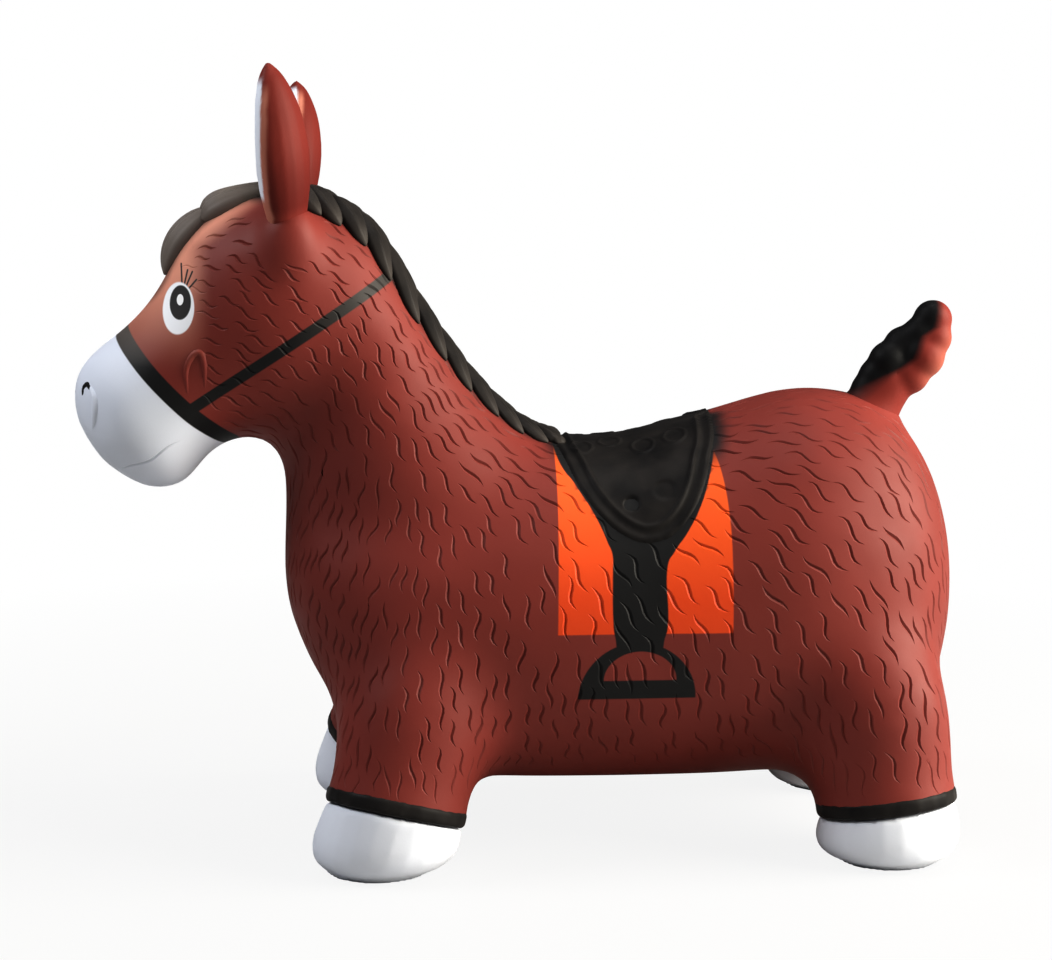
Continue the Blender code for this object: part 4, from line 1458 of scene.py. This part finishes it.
@dataclass
class Skin:
    """The moulded skin with its hairs and folds."""

    frame: dict
    finishes: Finishes
    zones: tuple = ("barrel", "neck", "head", "muzzle", *(f"{foot}_leg" for foot in FEET))
    voxel: float = 0.0047
    passes: int = 30
    swell: float = 0.0007
    valve_mound: Point3 = (0.016, 0.020, 0.020)
    ear_mound: Point3 = (0.022, 0.021, 0.033)
    ear_mound_shift: Point3 = (0.002, 0.001, 0.003)
    tail_mound: Point3 = (0.020, 0.022, 0.010)
    tail_mound_place: Point3 = (0.245, 0.0, 0.288)
    chin: Point2 = (-0.2035, 0.2545)
    chin_reach: float = 0.022
    chin_tuck: Point3 = (-0.0078, 0.0, 0.0060)
    cheek_fold: Point2 = (0.0026, 0.0017)
    nostril_wing: Point2 = (0.0036, 0.0018)
    mouth_crease: Point2 = (0.0015, 0.0008)
    valve_hole: float = 0.0105
    valve_depth: float = 0.02
    foot_reach: float = 0.085
    band_overlap: float = 0.002
    groove_edge: Point2 = (0.0001, 0.0007)
    crease_angle: float = math.radians(24)
    bend_from: Point3 = (0.0, 0.0, 0.062)
    bend_to: Point3 = (0.0, 0.0, 0.170)
    valve: Vector = field(init=False)
    obj: bpy.types.Object = field(init=False)
    ground: Ground = field(init=False)

    def __post_init__(self) -> None:
        """Moulds the skin at once, because other pieces are laid on it."""
        self.valve = valve_face()
        self.obj = self.mould()
        self.ground = Ground(self.obj)

    def mould(self) -> bpy.types.Object:
        """Runs the zones together into one surface.

        Returns:
            The smooth skin, without its hairs.
        """
        nodes = [*self.zones, *(f"{foot}_{zone}" for foot in FEET for zone in ("band", "hoof"))]
        sources = [solid_of(self.frame["nodes"][node]) for node in nodes]
        sources.append(ball((self.valve.x - self.valve_mound[0], 0, self.valve.z), self.valve_mound))
        for side in Side:
            low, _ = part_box(f"{side.name.lower()}_ear_root")
            middle = ear_root(side)
            back, out, up = self.ear_mound_shift
            sources.append(ball((middle.x + back, middle.y + out * side.value, low.z + up), self.ear_mound))
        sources.append(ball(self.tail_mound_place, self.tail_mound))
        skin = remeshed("skin", sources, self.voxel, self.passes, self.finishes.painted)
        swollen = points_of(skin) + vectors_of(skin.data, "normal") * self.swell
        move_points(skin, swollen + self.tucked(swollen))
        return skin

    def tucked(self, points: np.ndarray) -> np.ndarray:
        """How far the chin is drawn in behind the lips."""
        gap = (points[:, 0] - self.chin[0]) ** 2 + (points[:, 2] - self.chin[1]) ** 2
        return np.outer(np.exp(-gap / (2 * self.chin_reach**2)), self.chin_tuck)

    def folds(self) -> list[Bead]:
        """Cheek folds and the wings of the nostrils."""
        lines = ((CHEEK_FOLD, self.cheek_fold), (NOSTRIL_WING, self.nostril_wing))
        return [Bead(self.ground.line_beside(line, side), *size) for side in Side for line, size in lines]

    def mouth(self) -> list[Groove]:
        """The crease of the mouth on both sides."""
        return [Groove(self.ground.line_beside(MOUTH, side), *self.mouth_crease) for side in Side]

    def lost(self, points: np.ndarray) -> np.ndarray:
        """Finds what is hidden where the valve seat comes through and inside the bands of the feet.

        Args:
            points: of the skin.

        Returns:
            Which points are hidden.
        """
        off = np.hypot(points[:, 1] - self.valve.y, points[:, 2] - self.valve.z)
        lost = (off < self.valve_hole) & (points[:, 0] > self.valve.x - self.valve_depth)
        for foot in FEET:
            ring = points_of(self.frame["nodes"][f"{foot}_band"])
            middle = (ring.min(0) + ring.max(0)) / 2
            normal = np.linalg.svd(ring - ring.mean(0), full_matrices=False)[2][2]
            normal *= np.sign(normal[2])
            near = np.linalg.norm(points[:, :2] - middle[:2], axis=1) < self.foot_reach
            lost |= near & ((points - middle) @ normal < self.band_overlap)
        return lost

    def open_ends(self) -> None:
        """Takes the hidden skin away."""
        points, faces = solid_of(self.obj)
        lost = self.lost(points)
        solid, _ = only_used(points, [f for f in faces if not lost[list(f)].all()])
        old = self.obj
        self.obj = make_mesh("skin", solid, self.finishes.painted)
        bpy.data.objects.remove(old)
        self.obj.data.set_sharp_from_angle(angle=self.crease_angle)

    def dress(self, spray: Spray, coat: Coat) -> list[bpy.types.Object]:
        """Carves the hairs, adds the folds, and hides the zones of the frame that the skin replaces.

        Args:
            spray: the soft black on the skin.
            coat: the grooves between the hairs.

        Returns:
            The skin and its folds.
        """
        painted = self.finishes.painted
        cuts = [groove.build(self.ground) for groove in coat.build() + self.mouth()]
        self.obj = carved(self.obj, make_mesh("cutters", joined(cuts), painted), "carved_skin", painted)
        self.open_ends()
        folds = make_mesh("fold_relief", joined(bead.build(self.ground) for bead in self.folds()), painted)
        # Painted shade in the grooves, by how far each point lies below the smooth skin.
        depth = [self.ground.tree.find_nearest(Vector(p))[3] for p in points_of(self.obj)]
        store(self.obj, "deep", step(*self.groove_edge, np.array(depth)))
        for piece in (self.obj, folds):
            points = points_of(piece)
            store(piece, "spray", spray.black(points))
            # Painted highlight on the front of the face.
            store(piece, "pale", spray.pale(points))
            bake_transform(piece)
        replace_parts(self.obj, *self.zones)
        return [self.obj, folds]


@dataclass
class Feet:
    """Hooves and their black bands."""

    frame: dict
    finishes: Finishes
    hoof_voxel: float = 0.0020
    hoof_passes: int = 16
    sole: float = 0.0012
    band_voxel: float = 0.0014
    band_passes: int = 7
    band_thin: float = 0.06

    def build(self) -> list[bpy.types.Object]:
        """One smooth hoof and one rounded band for each leg.

        Returns:
            The hooves and bands.
        """
        return [piece for foot in FEET for piece in (self.hoof(foot), self.band(foot))]

    def hoof(self, foot: str) -> bpy.types.Object:
        """A smooth hoof with a flat sole.

        Args:
            foot: which one.

        Returns:
            The hoof.
        """
        source = solid_of(self.frame["nodes"][f"{foot}_hoof"])
        hoof = remeshed(f"{foot}_hoof_skin", [source], self.hoof_voxel, self.hoof_passes, self.finishes.white)
        points = points_of(hoof)
        points[:, 2] = np.where(points[:, 2] < self.sole, 0.0, points[:, 2])
        move_points(hoof, points)
        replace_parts(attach(hoof, "feet"), f"{foot}_hoof")
        return hoof

    def band(self, foot: str) -> bpy.types.Object:
        """A rounded band above a hoof.

        Args:
            foot: which one.

        Returns:
            The band.
        """
        source = solid_of(self.frame["nodes"][f"{foot}_band"])
        band = remeshed(f"{foot}_band_bead", [source], self.band_voxel, self.band_passes, self.finishes.black)
        store_all(band, self.band_thin, "thin")
        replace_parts(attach(band, "feet"), f"{foot}_band")
        return band


@dataclass
class Ears:
    """The two ears, with white lining in their hollow fronts."""

    frame: dict
    finishes: Finishes
    left_lean: Point2 = (-5, 9)
    right_lean: Point2 = (4, 25)
    turn: float = 14
    root: float = 0.016
    length: float = 0.103
    half_width: float = 0.025
    outline: Line2 = ((0.0, 0.70), (0.22, 0.93), (0.45, 1.0), (0.70, 0.84), (0.90, 0.46), (1.0, 0.06))
    voxel: float = 0.0014
    passes: int = 12
    sunk: float = 0.004
    sunk_radii: Point3 = (0.013, 0.015, 0.012)
    bend_start: float = 0.002
    lining_reach: Point2 = (0.0046, 0.0058)
    rim_reach: Point2 = (0.0080, 0.0112)
    rim_share: float = 0.46
    rim_end: Point2 = (0.78, 0.90)
    hollow: Point2 = (0.05, 0.25)
    hollow_edge: Point2 = (0.74, 0.82)
    lining_start: Point2 = (0.14, 0.20)
    lining_end: Point2 = (0.86, 0.93)
    foot_start: Point2 = (0.02, 0.12)
    foot_end: Point2 = (0.15, 0.60)
    painted_shade_share: float = 0.30
    foot_painted_shade: float = 0.45
    least_width: float = 0.002
    slices: int = 41
    slice_half: float = 0.02

    def build(self) -> list[bpy.types.Object]:
        """Smooths each ear and its root into one blade.

        Returns:
            The ears.
        """
        joints = {j["name"]: j for j in self.frame["joints"]}
        ears = []
        for side, (lean, splay) in zip(Side, (self.left_lean, self.right_lean)):
            name = side.name.lower()
            turn = Matrix.Rotation(math.radians(lean), 3, "Y")
            turn = turn @ Matrix.Rotation(-side.value * math.radians(splay), 3, "X")
            turn = turn @ Matrix.Rotation(side.value * math.radians(self.turn), 3, "Z")
            up = np.array(turn @ Vector((0, 0, 1)))
            base = np.array(joints[f"{name}_ear_flex"]["pos_m"]) - up * (self.root / 2)
            sources = [solid_of(self.frame["nodes"][node]) for node in (f"{name}_ear", f"{name}_ear_root")]
            sources.append(ball(tuple(base - self.sunk * up), self.sunk_radii))
            ear = remeshed(f"{name}_ear_blade", sources, self.voxel, self.passes, self.finishes.hide)
            facing = vectors_of(ear.data, "normal") @ np.array(turn)
            self.paint(ear, (points_of(ear) - base) @ np.array(turn), facing)
            start, end = base + up * self.bend_start, base + up * self.root
            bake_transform(ear)
            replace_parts(ear, f"{name}_ear", f"{name}_ear_root")
            ears.append(ear)
        return ears

    def paint(self, ear: bpy.types.Object, local: np.ndarray, facing: np.ndarray) -> None:
        """White lining in the hollow, a pale rim, and painted shade behind the rim, deepest at the foot.

        Args:
            ear: what is painted.
            local: its points, in the ear's own axes.
            facing: their normals, in the same axes.
        """
        x, y, height = local.T
        share = height / self.length
        width = np.interp(share, *zip(*self.outline)) * self.half_width
        inner = fade(*self.hollow_edge, np.abs(y) / np.maximum(width, self.least_width))
        slices = np.linspace(0.0, 1.0, self.slices)
        foremost = [x[np.abs(share - middle) < self.slice_half].min(initial=0.0) for middle in slices]
        behind = x - np.interp(share, slices, foremost)
        lining = np.maximum(step(*self.hollow, -facing[:, 0]) * inner, fade(*self.lining_reach, behind))
        foot = step(*self.foot_start, share) * fade(*self.foot_end, share)
        store(ear, "bare", lining * step(*self.lining_start, share) * fade(*self.lining_end, share))
        store(ear, "pale", self.rim_share * fade(*self.rim_reach, behind) * fade(*self.rim_end, share))
        # Painted shade over the ear behind its rim, deepest at the foot where it meets the head.
        store(ear, "deep", (self.painted_shade_share + self.foot_painted_shade * foot) * step(*self.rim_reach, behind))
        store_all(ear, 0.0, "spray")


@dataclass
class Tail:
    """The lobed tail on its root, black in front and hide behind. Each lobe has a place and a radius."""

    finishes: Finishes
    base: Point3 = (0.246, 0.0, 0.292)
    rake: float = math.radians(33)
    root: float = 0.018
    bend_start: float = 0.004
    voxel: float = 0.0014
    passes: int = 34
    ink_soft: Point2 = (0.0030, 0.0060)
    ink_soft_z: Point2 = (0.300, 0.325)
    rear_back: Point2 = (0.005, 0.03)
    rear_up: Point2 = (0.02, 0.04)
    rear_highlight: float = 0.30
    lobes: tuple = (
        (0.2435, 0.000, 0.3035, 0.0135), (0.2490, 0.000, 0.3130, 0.0138), (0.2560, -0.002, 0.3240, 0.0142),
        (0.2670, 0.002, 0.3340, 0.0140), (0.2775, -0.001, 0.3415, 0.0132), (0.2868, 0.000, 0.3525, 0.0138),
        (0.2868, -0.003, 0.3400, 0.0132), (0.2790, -0.004, 0.3275, 0.0160), (0.2700, -0.003, 0.3155, 0.0150),
        (0.2750, 0.006, 0.3320, 0.0132), (0.2640, 0.005, 0.3210, 0.0142),
    )
    flare: Line2 = (
        (-0.016, 0.0340), (-0.011, 0.0275), (-0.006, 0.0230), (-0.001, 0.0202), (0.004, 0.0186),
        (0.010, 0.0176), (0.018, 0.0172), (0.026, 0.0165),
    )
    ink_edge: Line2 = (
        (0.288, 0.222), (0.299, 0.2310), (0.307, 0.2410), (0.314, 0.252), (0.3210, 0.2645), (0.327, 0.272),
        (0.342, 0.278), (0.3480, 0.287), (0.364, 0.2905),
    )

    def build(self) -> list[bpy.types.Object]:
        """Runs root and lobes together and sprays them.

        Returns:
            The tail.
        """
        base = np.array(self.base)
        up = np.array((math.sin(self.rake), 0.0, math.cos(self.rake)))
        back = np.array((math.cos(self.rake), 0.0, -math.sin(self.rake)))
        sources = [ball(place, (radius,) * 3) for *place, radius in self.lobes]
        sources.append(turned(self.flare, base, np.array((back, (0.0, 1.0, 0.0), up))))
        tail = remeshed("tail_tuft", sources, self.voxel, self.passes, self.finishes.hide)
        points = points_of(tail)
        edge = np.interp(points[:, 2], *zip(*self.ink_edge))
        soft = self.ink_soft[0] + self.ink_soft[1] * fade(*self.ink_soft_z, points[:, 2])
        store(tail, "spray", np.clip((edge - points[:, 0]) / (2 * soft) + 0.5, 0, 1))
        # The back of the tail is paler: a painted highlight.
        rear = step(*self.rear_back, (points - base) @ back) * step(*self.rear_up, (points - base) @ up)
        store(tail, "pale", self.rear_highlight * rear)
        store_all(tail, 0.0, "deep", "bare")
        start, end = base + up * self.bend_start, base + up * self.root
        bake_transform(tail)
        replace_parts(tail, "tail", "tail_root")
        return [tail]


@dataclass
class Hair:
    """Mane and forelock, in twisted locks."""

    ground: Ground
    finishes: Finishes
    crest_ends: Point2 = (-0.160, 0.024)
    brow_turns: Point2 = (96, 164)
    brow_hub: Point2 = (-0.16, 0.36)
    brow_cast: float = 0.3
    mane_locks: int = 11
    mane_reach: Point2 = (0.030, 0.008)
    mane_half_width: Point2 = (0.0118, 0.0034)
    mane_height: Point2 = (0.0092, 0.0036)
    mane_fall: Line2 = ((0, -0.20), (7, 0.15), (14, 0.55), (21, 0.90), (28, 1.10))
    rope: Point2 = (0.0150, 0.0062)
    lobes: tuple = ((0, 33, 0.009, 2.4), (27, 58, 0.007, 1.0))
    lobe_half_width: float = 0.0105
    lobe_height: float = 0.0128
    side_lobe_height: float = 0.0108
    crest_points: int = 200
    mane_run: float = 0.93
    mane_droop: float = 0.35
    right_late: float = 0.018
    brow_thin: float = 0.55
    brow_sheen_x: float = -0.185
    brow_sheen_gain: float = 1.3
    brow_sheen_length: float = 0.05
    brow_smoke_and_sheen_limits: Point2 = (0.15, 0.95)
    crest_blank: float = 0.024
    brow_blank: float = 0.034
    crest: np.ndarray = field(init=False)
    brow: np.ndarray = field(init=False)

    def __post_init__(self) -> None:
        """Finds the crest of the neck and the middle line of the brow."""
        xs = np.linspace(*self.crest_ends, 24)
        self.crest = np.array([self.ground.cast((x, 0.0, 0.7), (0, 0, -1))[0] for x in xs])
        brow = []
        for t in np.radians(np.linspace(*self.brow_turns, 10)):
            out_x, out_z = math.cos(t), math.sin(t)
            start = (self.brow_hub[0] + self.brow_cast * out_x, 0, self.brow_hub[1] + self.brow_cast * out_z)
            brow.append(self.ground.cast(start, (-out_x, 0, -out_z))[0])
        self.brow = np.array(brow)

    def pack(self, name: str, locks: list[Lock]) -> bpy.types.Object:
        """Many locks as one object.

        Args:
            name: of the object.
            locks: that it is made of.

        Returns:
            The object.
        """
        hair = make_mesh(name, joined(lock.build(self.ground) for lock in locks), self.finishes.black)
        store(hair, "thin", np.concatenate([lock.thin() for lock in locks]))
        return hair

    def build(self) -> list[bpy.types.Object]:
        """Lays the locks and hands them to the frame.

        Returns:
            The mane and the forelock.
        """
        mane = self.pack("mane_locks", self.mane())
        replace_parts(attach(mane, "trunk"), "mane")
        brow = self.pack("forelock_locks", self.forelock())
        # The forelock's smoky grey, rising towards its front as a painted highlight.
        ahead = self.brow_sheen_gain * (self.brow_sheen_x - points_of(brow)[:, 0]) / self.brow_sheen_length
        store(brow, "thin", np.clip(self.brow_thin + ahead, *self.brow_smoke_and_sheen_limits))
        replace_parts(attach(brow, "trunk"), "forelock")
        return [mane, brow]

    def mane(self) -> list[Lock]:
        """Locks that fall to both sides, one over the next, and a rope along the crest.

        Returns:
            The locks.
        """
        crest = spline(self.crest, self.crest_points)
        sizes = (self.mane_reach, self.mane_half_width, self.mane_height)
        locks = []
        for share in (i / (self.mane_locks - 1) for i in range(self.mane_locks)):
            reach, half_width, height = (most - less * share for most, less in sizes)
            for side in Side:
                late = self.right_late if side is Side.RIGHT else 0.0
                start = int(np.clip(self.crest_points * (share * self.mane_run + late) - 4, 0, 180))
                path = []
                for k, w in self.mane_fall:
                    off = np.array((0, side.value * w * reach, -self.mane_droop * w * reach))
                    path.append(crest[min(start + k, self.crest_points - 1)] + off)
                locks.append(Lock(np.array(path), half_width, height))
        locks.append(Lock(crest[::8], *self.rope, rows=70))
        return locks

    def forelock(self) -> list[Lock]:
        """Lobes that lie over one another down the brow, in the middle and on both sides.

        Returns:
            The locks.
        """
        brow = spline(self.brow, 60)
        locks = []
        for first, last, spread, late in self.lobes:
            for side in (-1, 0, 1):
                part = brow[first : last + 1 : 5].copy()
                part[:, 1] += side * spread * np.sin(np.linspace(0.35, 1.0, len(part)) * math.pi / 2)
                height = self.side_lobe_height if side else self.lobe_height
                locks.append(Lock(part, self.lobe_half_width, height, rows=34, late=late))
        return locks

    def blank(self) -> np.ndarray:
        """Places that the fine hairs keep away from, each with a radius."""
        lines = ((self.crest, 40, self.crest_blank), (self.brow, 14, self.brow_blank))
        return np.vstack([np.hstack([spline(line, n), np.full((n, 1), radius)]) for line, n, radius in lines])


@dataclass
class Saddle:
    """The moulded saddle: a padded seat with a rim, rings and dimples.

    A ring has X and the distance from the middle plane, a ridge has a height, a distance from the edge and
    a width, and a dimple has a place, a radius and a depth.
    """

    ground: Ground
    finishes: Finishes
    axis_z: float = 0.200
    cast_from: float = 0.4
    columns: int = 130
    rows: int = 230
    ends: Point2 = (0.014, 0.140)
    spread: float = 88
    border: float = 0.004
    rings: Line2 = ((0.0398, 0.0290), (0.0600, 0.0210), (0.0810, 0.0359), (0.1029, 0.0338))
    ring_radii: Point2 = (0.0086, 0.0110)
    ring_low_z: float = 0.25
    ring_height: float = 0.0008
    ring_line: Point2 = (0.85, 0.12)
    lip: Point2 = (-0.0010, 0.0018)
    lip_edge: Point2 = (-0.0014, 0.0028)
    ridges: tuple = ((0.0004, 0.0032, 0.0014), (0.0014, 0.0115, 0.0016), (-0.0004, 0.0076, 0.0020))
    pad: float = 0.0006
    pad_edge: Point2 = (0.012, 0.030)
    dimple_edge: Point2 = (0.70, 1.05)
    thin: float = 0.05
    thin_most: float = 0.30
    thin_gain: float = 90
    thin_height: float = 0.0040
    dimples: tuple = ((0.0680, 0.0826, 0.2385, 0.0060, 0.0016), (0.0905, 0.0775, 0.2460, 0.0086, 0.0008))

    def over(self, x: float, turn: float) -> tuple[np.ndarray, np.ndarray]:
        """A place on the back.

        Args:
            x: place along the horse.
            turn: angle from straight up.

        Returns:
            The place and its normal.
        """
        out = np.array((0.0, math.sin(turn), math.cos(turn)))
        hub = np.array((x, 0.0, self.axis_z))
        return self.ground.cast(tuple(hub + self.cast_from * out), tuple(-out))

    def outline(self) -> np.ndarray:
        """Follows the edge of the saddle round both flaps and over the back.

        Returns:
            Points of the edge.
        """
        line = spline(np.array(SADDLE_OUTLINE), 160)
        left = np.array([self.ground.beside(x, z, Side.LEFT) for x, z in line])
        arcs = []
        for x, z in (line[0], line[-1]):
            places = [self.over(x, turn)[0] for turn in np.radians(np.linspace(-75, 75, 121))]
            arcs += [place for place in places if place[2] > z]
        return np.vstack([left, left * (1, -1, 1), np.array(arcs)])

    def build(self) -> list[bpy.types.Object]:
        """Drapes a fine net over the back and raises it inside the outline.

        Returns:
            The saddle.
        """
        turns = np.radians(np.linspace(-self.spread, self.spread, self.rows))
        net = [self.over(x, turn) for turn in turns for x in np.linspace(*self.ends, self.columns)]
        places, normals = (np.array(part) for part in zip(*net))
        away = distance_to(places, self.outline())
        away = np.where(places[:, 2] > saddle_edge(places[:, 0]), away, -away)
        height = self.relief(places, away)
        faces = [f for f in grid_faces(self.rows, self.columns) if away[list(f)].max() > -self.border]
        solid, used = only_used(places + normals * height[:, None], faces)
        saddle = make_mesh("saddle_seat", solid, self.finishes.black)
        # Greyer where the relief stands highest: a painted highlight on the ridges.
        greyed = self.thin_gain * np.maximum(height[used] - self.thin_height, 0)
        store(saddle, "thin", np.clip(self.thin + greyed, 0, self.thin_most))
        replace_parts(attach(saddle, "trunk"), "saddle")
        return [saddle]

    def relief(self, places: np.ndarray, away: np.ndarray) -> np.ndarray:
        """How far the saddle stands off the skin.

        Args:
            places: on the skin.
            away: their distances from the saddle's edge, inwards.

        Returns:
            A height for each place: edge, rim, furrow and pad, then rings and dimples.
        """
        height = self.lip[0] + self.lip[1] * step(*self.lip_edge, away)
        for ridge, middle, width in self.ridges:
            height += ridge * hump(away, middle, width)
        height += self.pad * step(*self.pad_edge, away)
        x, y, z = places[:, 0], np.abs(places[:, 1]), places[:, 2]
        for cx, cy in self.rings:
            r = np.hypot((x - cx) / self.ring_radii[0], (y - cy) / self.ring_radii[1])
            height += self.ring_height * hump(r, *self.ring_line) * (z > self.ring_low_z)
        for cx, cy, cz, radius, deep in self.dimples:
            r = np.sqrt((x - cx) ** 2 + (y - cy) ** 2 + (z - cz) ** 2) / radius
            height -= deep * fade(*self.dimple_edge, r)
        return height


@dataclass
class Valve:
    """The valve seat in the rump and its push-in plug, by depths below the valve's face and radii."""

    finishes: Finishes
    turns: int = 48
    seat: Line2 = (
        (0.0100, 0.0130), (0.0100, 0.0042), (0.0040, 0.0042), (0.0030, 0.0044), (0.0027, 0.0050),
        (0.0027, 0.0087), (0.0004, 0.0088), (-0.0004, 0.0092), (-0.0012, 0.0104), (-0.0014, 0.0118),
        (-0.0010, 0.0130), (-0.0002, 0.0134), (0.0008, 0.0130), (0.0100, 0.0130),
    )
    plug: Line2 = (
        (-0.0006, 0.0002), (-0.0005, 0.0050), (-0.0002, 0.0072), (0.0003, 0.0082), (0.0010, 0.0085),
        (0.0022, 0.0084), (0.0025, 0.0080), (0.0025, 0.0044), (0.0029, 0.0040), (0.0120, 0.0040),
        (0.0140, 0.0036), (0.0152, 0.0026), (0.0155, 0.0002),
    )

    def lathe(self, name: str, profile: Line2) -> bpy.types.Object:
        """A turned piece in the valve's axis.

        Args:
            name: of the piece.
            profile: depths and radii.

        Returns:
            The piece.
        """
        axes = np.array(((0.0, 1.0, 0.0), (0.0, 0.0, 1.0), (-1.0, 0.0, 0.0)))
        points, faces = turned(profile, np.array(valve_face()), axes, self.turns, capped=False)
        return make_mesh(name, (points, turned_over(faces)), self.finishes.plug)

    def build(self) -> list[bpy.types.Object]:
        """Collar with a rounded lip, and plug with a finger lip.

        Returns:
            The collar and the plug.
        """
        collar = self.lathe("valve_collar", self.seat)
        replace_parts(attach(collar, "trunk"), "valve_seat")
        stopper = self.lathe("air_stopper", self.plug)
        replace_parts(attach(stopper, "plug"), "air_plug")
        return [collar, stopper]


@dataclass
class Nostrils:
    """Dark crescents on the muzzle."""

    ground: Ground
    finishes: Finishes
    half_width: float = 0.0022
    height: float = 0.0006
    thin: float = 0.05

    def build(self) -> list[bpy.types.Object]:
        """One crescent on each side.

        Returns:
            The crescents, as one piece.
        """
        paths = [self.ground.line_beside(NOSTRIL, side, 16) for side in Side]
        beads = [Bead(path, self.half_width, self.height).build(self.ground) for path in paths]
        nostrils = make_mesh("nostrils", joined(beads), self.finishes.black)
        store_all(nostrils, self.thin, "thin")
        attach(nostrils, "trunk")
        return [nostrils]


@dataclass(frozen=True)
class Lamp:
    """A square lamp."""

    place: Point3
    size: float
    power: float
    colour: Colour


@dataclass
class Studio:
    """White floor, soft lamps and the camera of the photograph."""

    target: Point3 = (0.005, 0.0, 0.2435)
    azimuth: float = math.radians(-4.5)
    elevation: float = math.radians(8.3)
    distance: float = 1.6
    sensor: float = SENSOR
    focal: float = SENSOR * FOCAL_PIXELS / PHOTO_PIXELS
    lamps: tuple[Lamp, ...] = (
        Lamp((-1.45, -0.15, 1.75), 0.9, 31.0, (0.97, 0.98, 1.0)),
        Lamp((1.85, -0.48, 1.00), 1.5, 138.0, (1.0, 0.95, 0.84)),
        Lamp((0.25, 0.10, 2.40), 1.0, 17.0, (1.0, 1.0, 1.0)),
        Lamp((-0.70, -2.60, 1.30), 1.0, 3.0, (0.93, 0.96, 1.0)),
    )
    surround: float = 0.10
    gamma: float = 0.8
    floor_grey: float = 0.42
    floor_half: float = 6.0
    floor_glow: float = 0.90
    glow_radius: float = 0.70
    glow_fade: float = 0.6

    def build(self) -> None:
        """Sets the stage."""
        self.floor()
        for lamp in self.lamps:
            self.light(lamp)
        self.world()
        self.camera()

    def world(self) -> None:
        """White behind the horse, and a dim white all round it."""
        scene = bpy.context.scene
        scene.world = bpy.data.worlds.new("studio")
        scene.world.use_nodes = True
        nodes = Nodes(scene.world.node_tree)
        glow = nodes.tree.nodes["Background"]
        seen = nodes.node("ShaderNodeLightPath", {}, {}, "Is Camera Ray")
        nodes.feed(glow.inputs["Color"], (1.0, 1.0, 1.0))
        nodes.feed(glow.inputs["Strength"], seen * (1.0 - self.surround) + self.surround)
        scene.view_settings.view_transform = "Standard"
        scene.view_settings.gamma = self.gamma

    def floor(self) -> None:
        """A wide pale floor that the camera sees nearly white."""
        shader = Shader("floor")
        x, y, _ = shader.place()
        away = (x * x + y * y).op("SQRT")
        shader.finish((self.floor_grey,) * 3, 0.6, 0.1)
        glow = shader.node("ShaderNodeEmission", {}, {"Color": (1.0, 1.0, 1.0), "Strength": 1.0})
        seen = shader.node("ShaderNodeLightPath", {}, {}, "Is Camera Ray")
        outer = away.above(self.glow_radius, self.glow_fade) * (1.0 - self.floor_glow)
        plain = Wire(shader, shader.surface.outputs[0])
        inputs = {0: (outer + self.floor_glow) * seen, 1: plain, 2: glow}
        mixed = shader.node("ShaderNodeMixShader", {}, inputs)
        shader.feed(shader.tree.nodes["Material Output"].inputs["Surface"], mixed)
        corners = np.array([(-1, -1, 0), (1, -1, 0), (1, 1, 0), (-1, 1, 0)]) * self.floor_half
        make_mesh("floor", (corners, [(0, 1, 2, 3)]), shader.material)

    def stand(self, name: str, data: bpy.types.ID, place: Vector) -> bpy.types.Object:
        """Puts a lamp or a camera somewhere, looking at the horse.

        Args:
            name: of the new object.
            data: the lamp or the camera.
            place: where it stands.

        Returns:
            The new object.
        """
        obj = bpy.data.objects.new(name, data)
        bpy.context.scene.collection.objects.link(obj)
        obj.location = place
        obj.rotation_euler = (Vector(self.target) - place).to_track_quat("-Z", "Y").to_euler()
        return obj

    def light(self, lamp: Lamp) -> None:
        """Hangs up a lamp that looks at the horse.

        Args:
            lamp: its place, size, power and colour.
        """
        data = bpy.data.lights.new("lamp", "AREA")
        data.size = lamp.size
        data.energy = lamp.power
        data.color = lamp.colour
        self.stand("lamp", data, Vector(lamp.place))

    def camera(self) -> None:
        """Stands where the photograph was taken from."""
        data = bpy.data.cameras.new("camera")
        data.lens = self.focal
        data.sensor_width = self.sensor
        flat, up = math.cos(self.elevation), math.sin(self.elevation)
        back = Vector((math.sin(self.azimuth) * flat, -math.cos(self.azimuth) * flat, up))
        place = Vector(self.target) + back * self.distance
        bpy.context.scene.camera = self.stand("camera", data, place)


def report(pieces: list[bpy.types.Object]) -> None:
    """Logs each finished piece."""
    for piece in pieces:
        LOG.info("%s: %d faces", piece.name, len(piece.data.polygons))


def main() -> None:
    """Builds the horse around its frame."""
    logging.basicConfig(level=logging.INFO, format="%(name)s: %(message)s")
    for obj in list(bpy.data.objects):
        bpy.data.objects.remove(obj)
    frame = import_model()
    finishes = Finishes.make()
    skin = Skin(frame, finishes)
    hair = Hair(skin.ground, finishes)
    saddle = Saddle(skin.ground, finishes)
    spots = [(*ear_root(side), EAR_CLEAR) for side in Side]
    spots += [TAIL_CLEAR, (*skin.valve, VALVE_CLEAR)]
    coat = Coat(skin.ground, np.vstack([hair.blank(), np.array(spots)]))
    report(skin.dress(Spray(hair.crest, hair.brow, saddle.outline()), coat))
    feet, ears, tail = Feet(frame, finishes), Ears(frame, finishes), Tail(finishes)
    for assembly in (hair, feet, ears, tail, saddle, Valve(finishes), Nostrils(skin.ground, finishes)):
        report(assembly.build())
    Studio().build()
    bpy.context.view_layer.update()
    LOG.info("built")


if __name__ == "__main__":
    main()
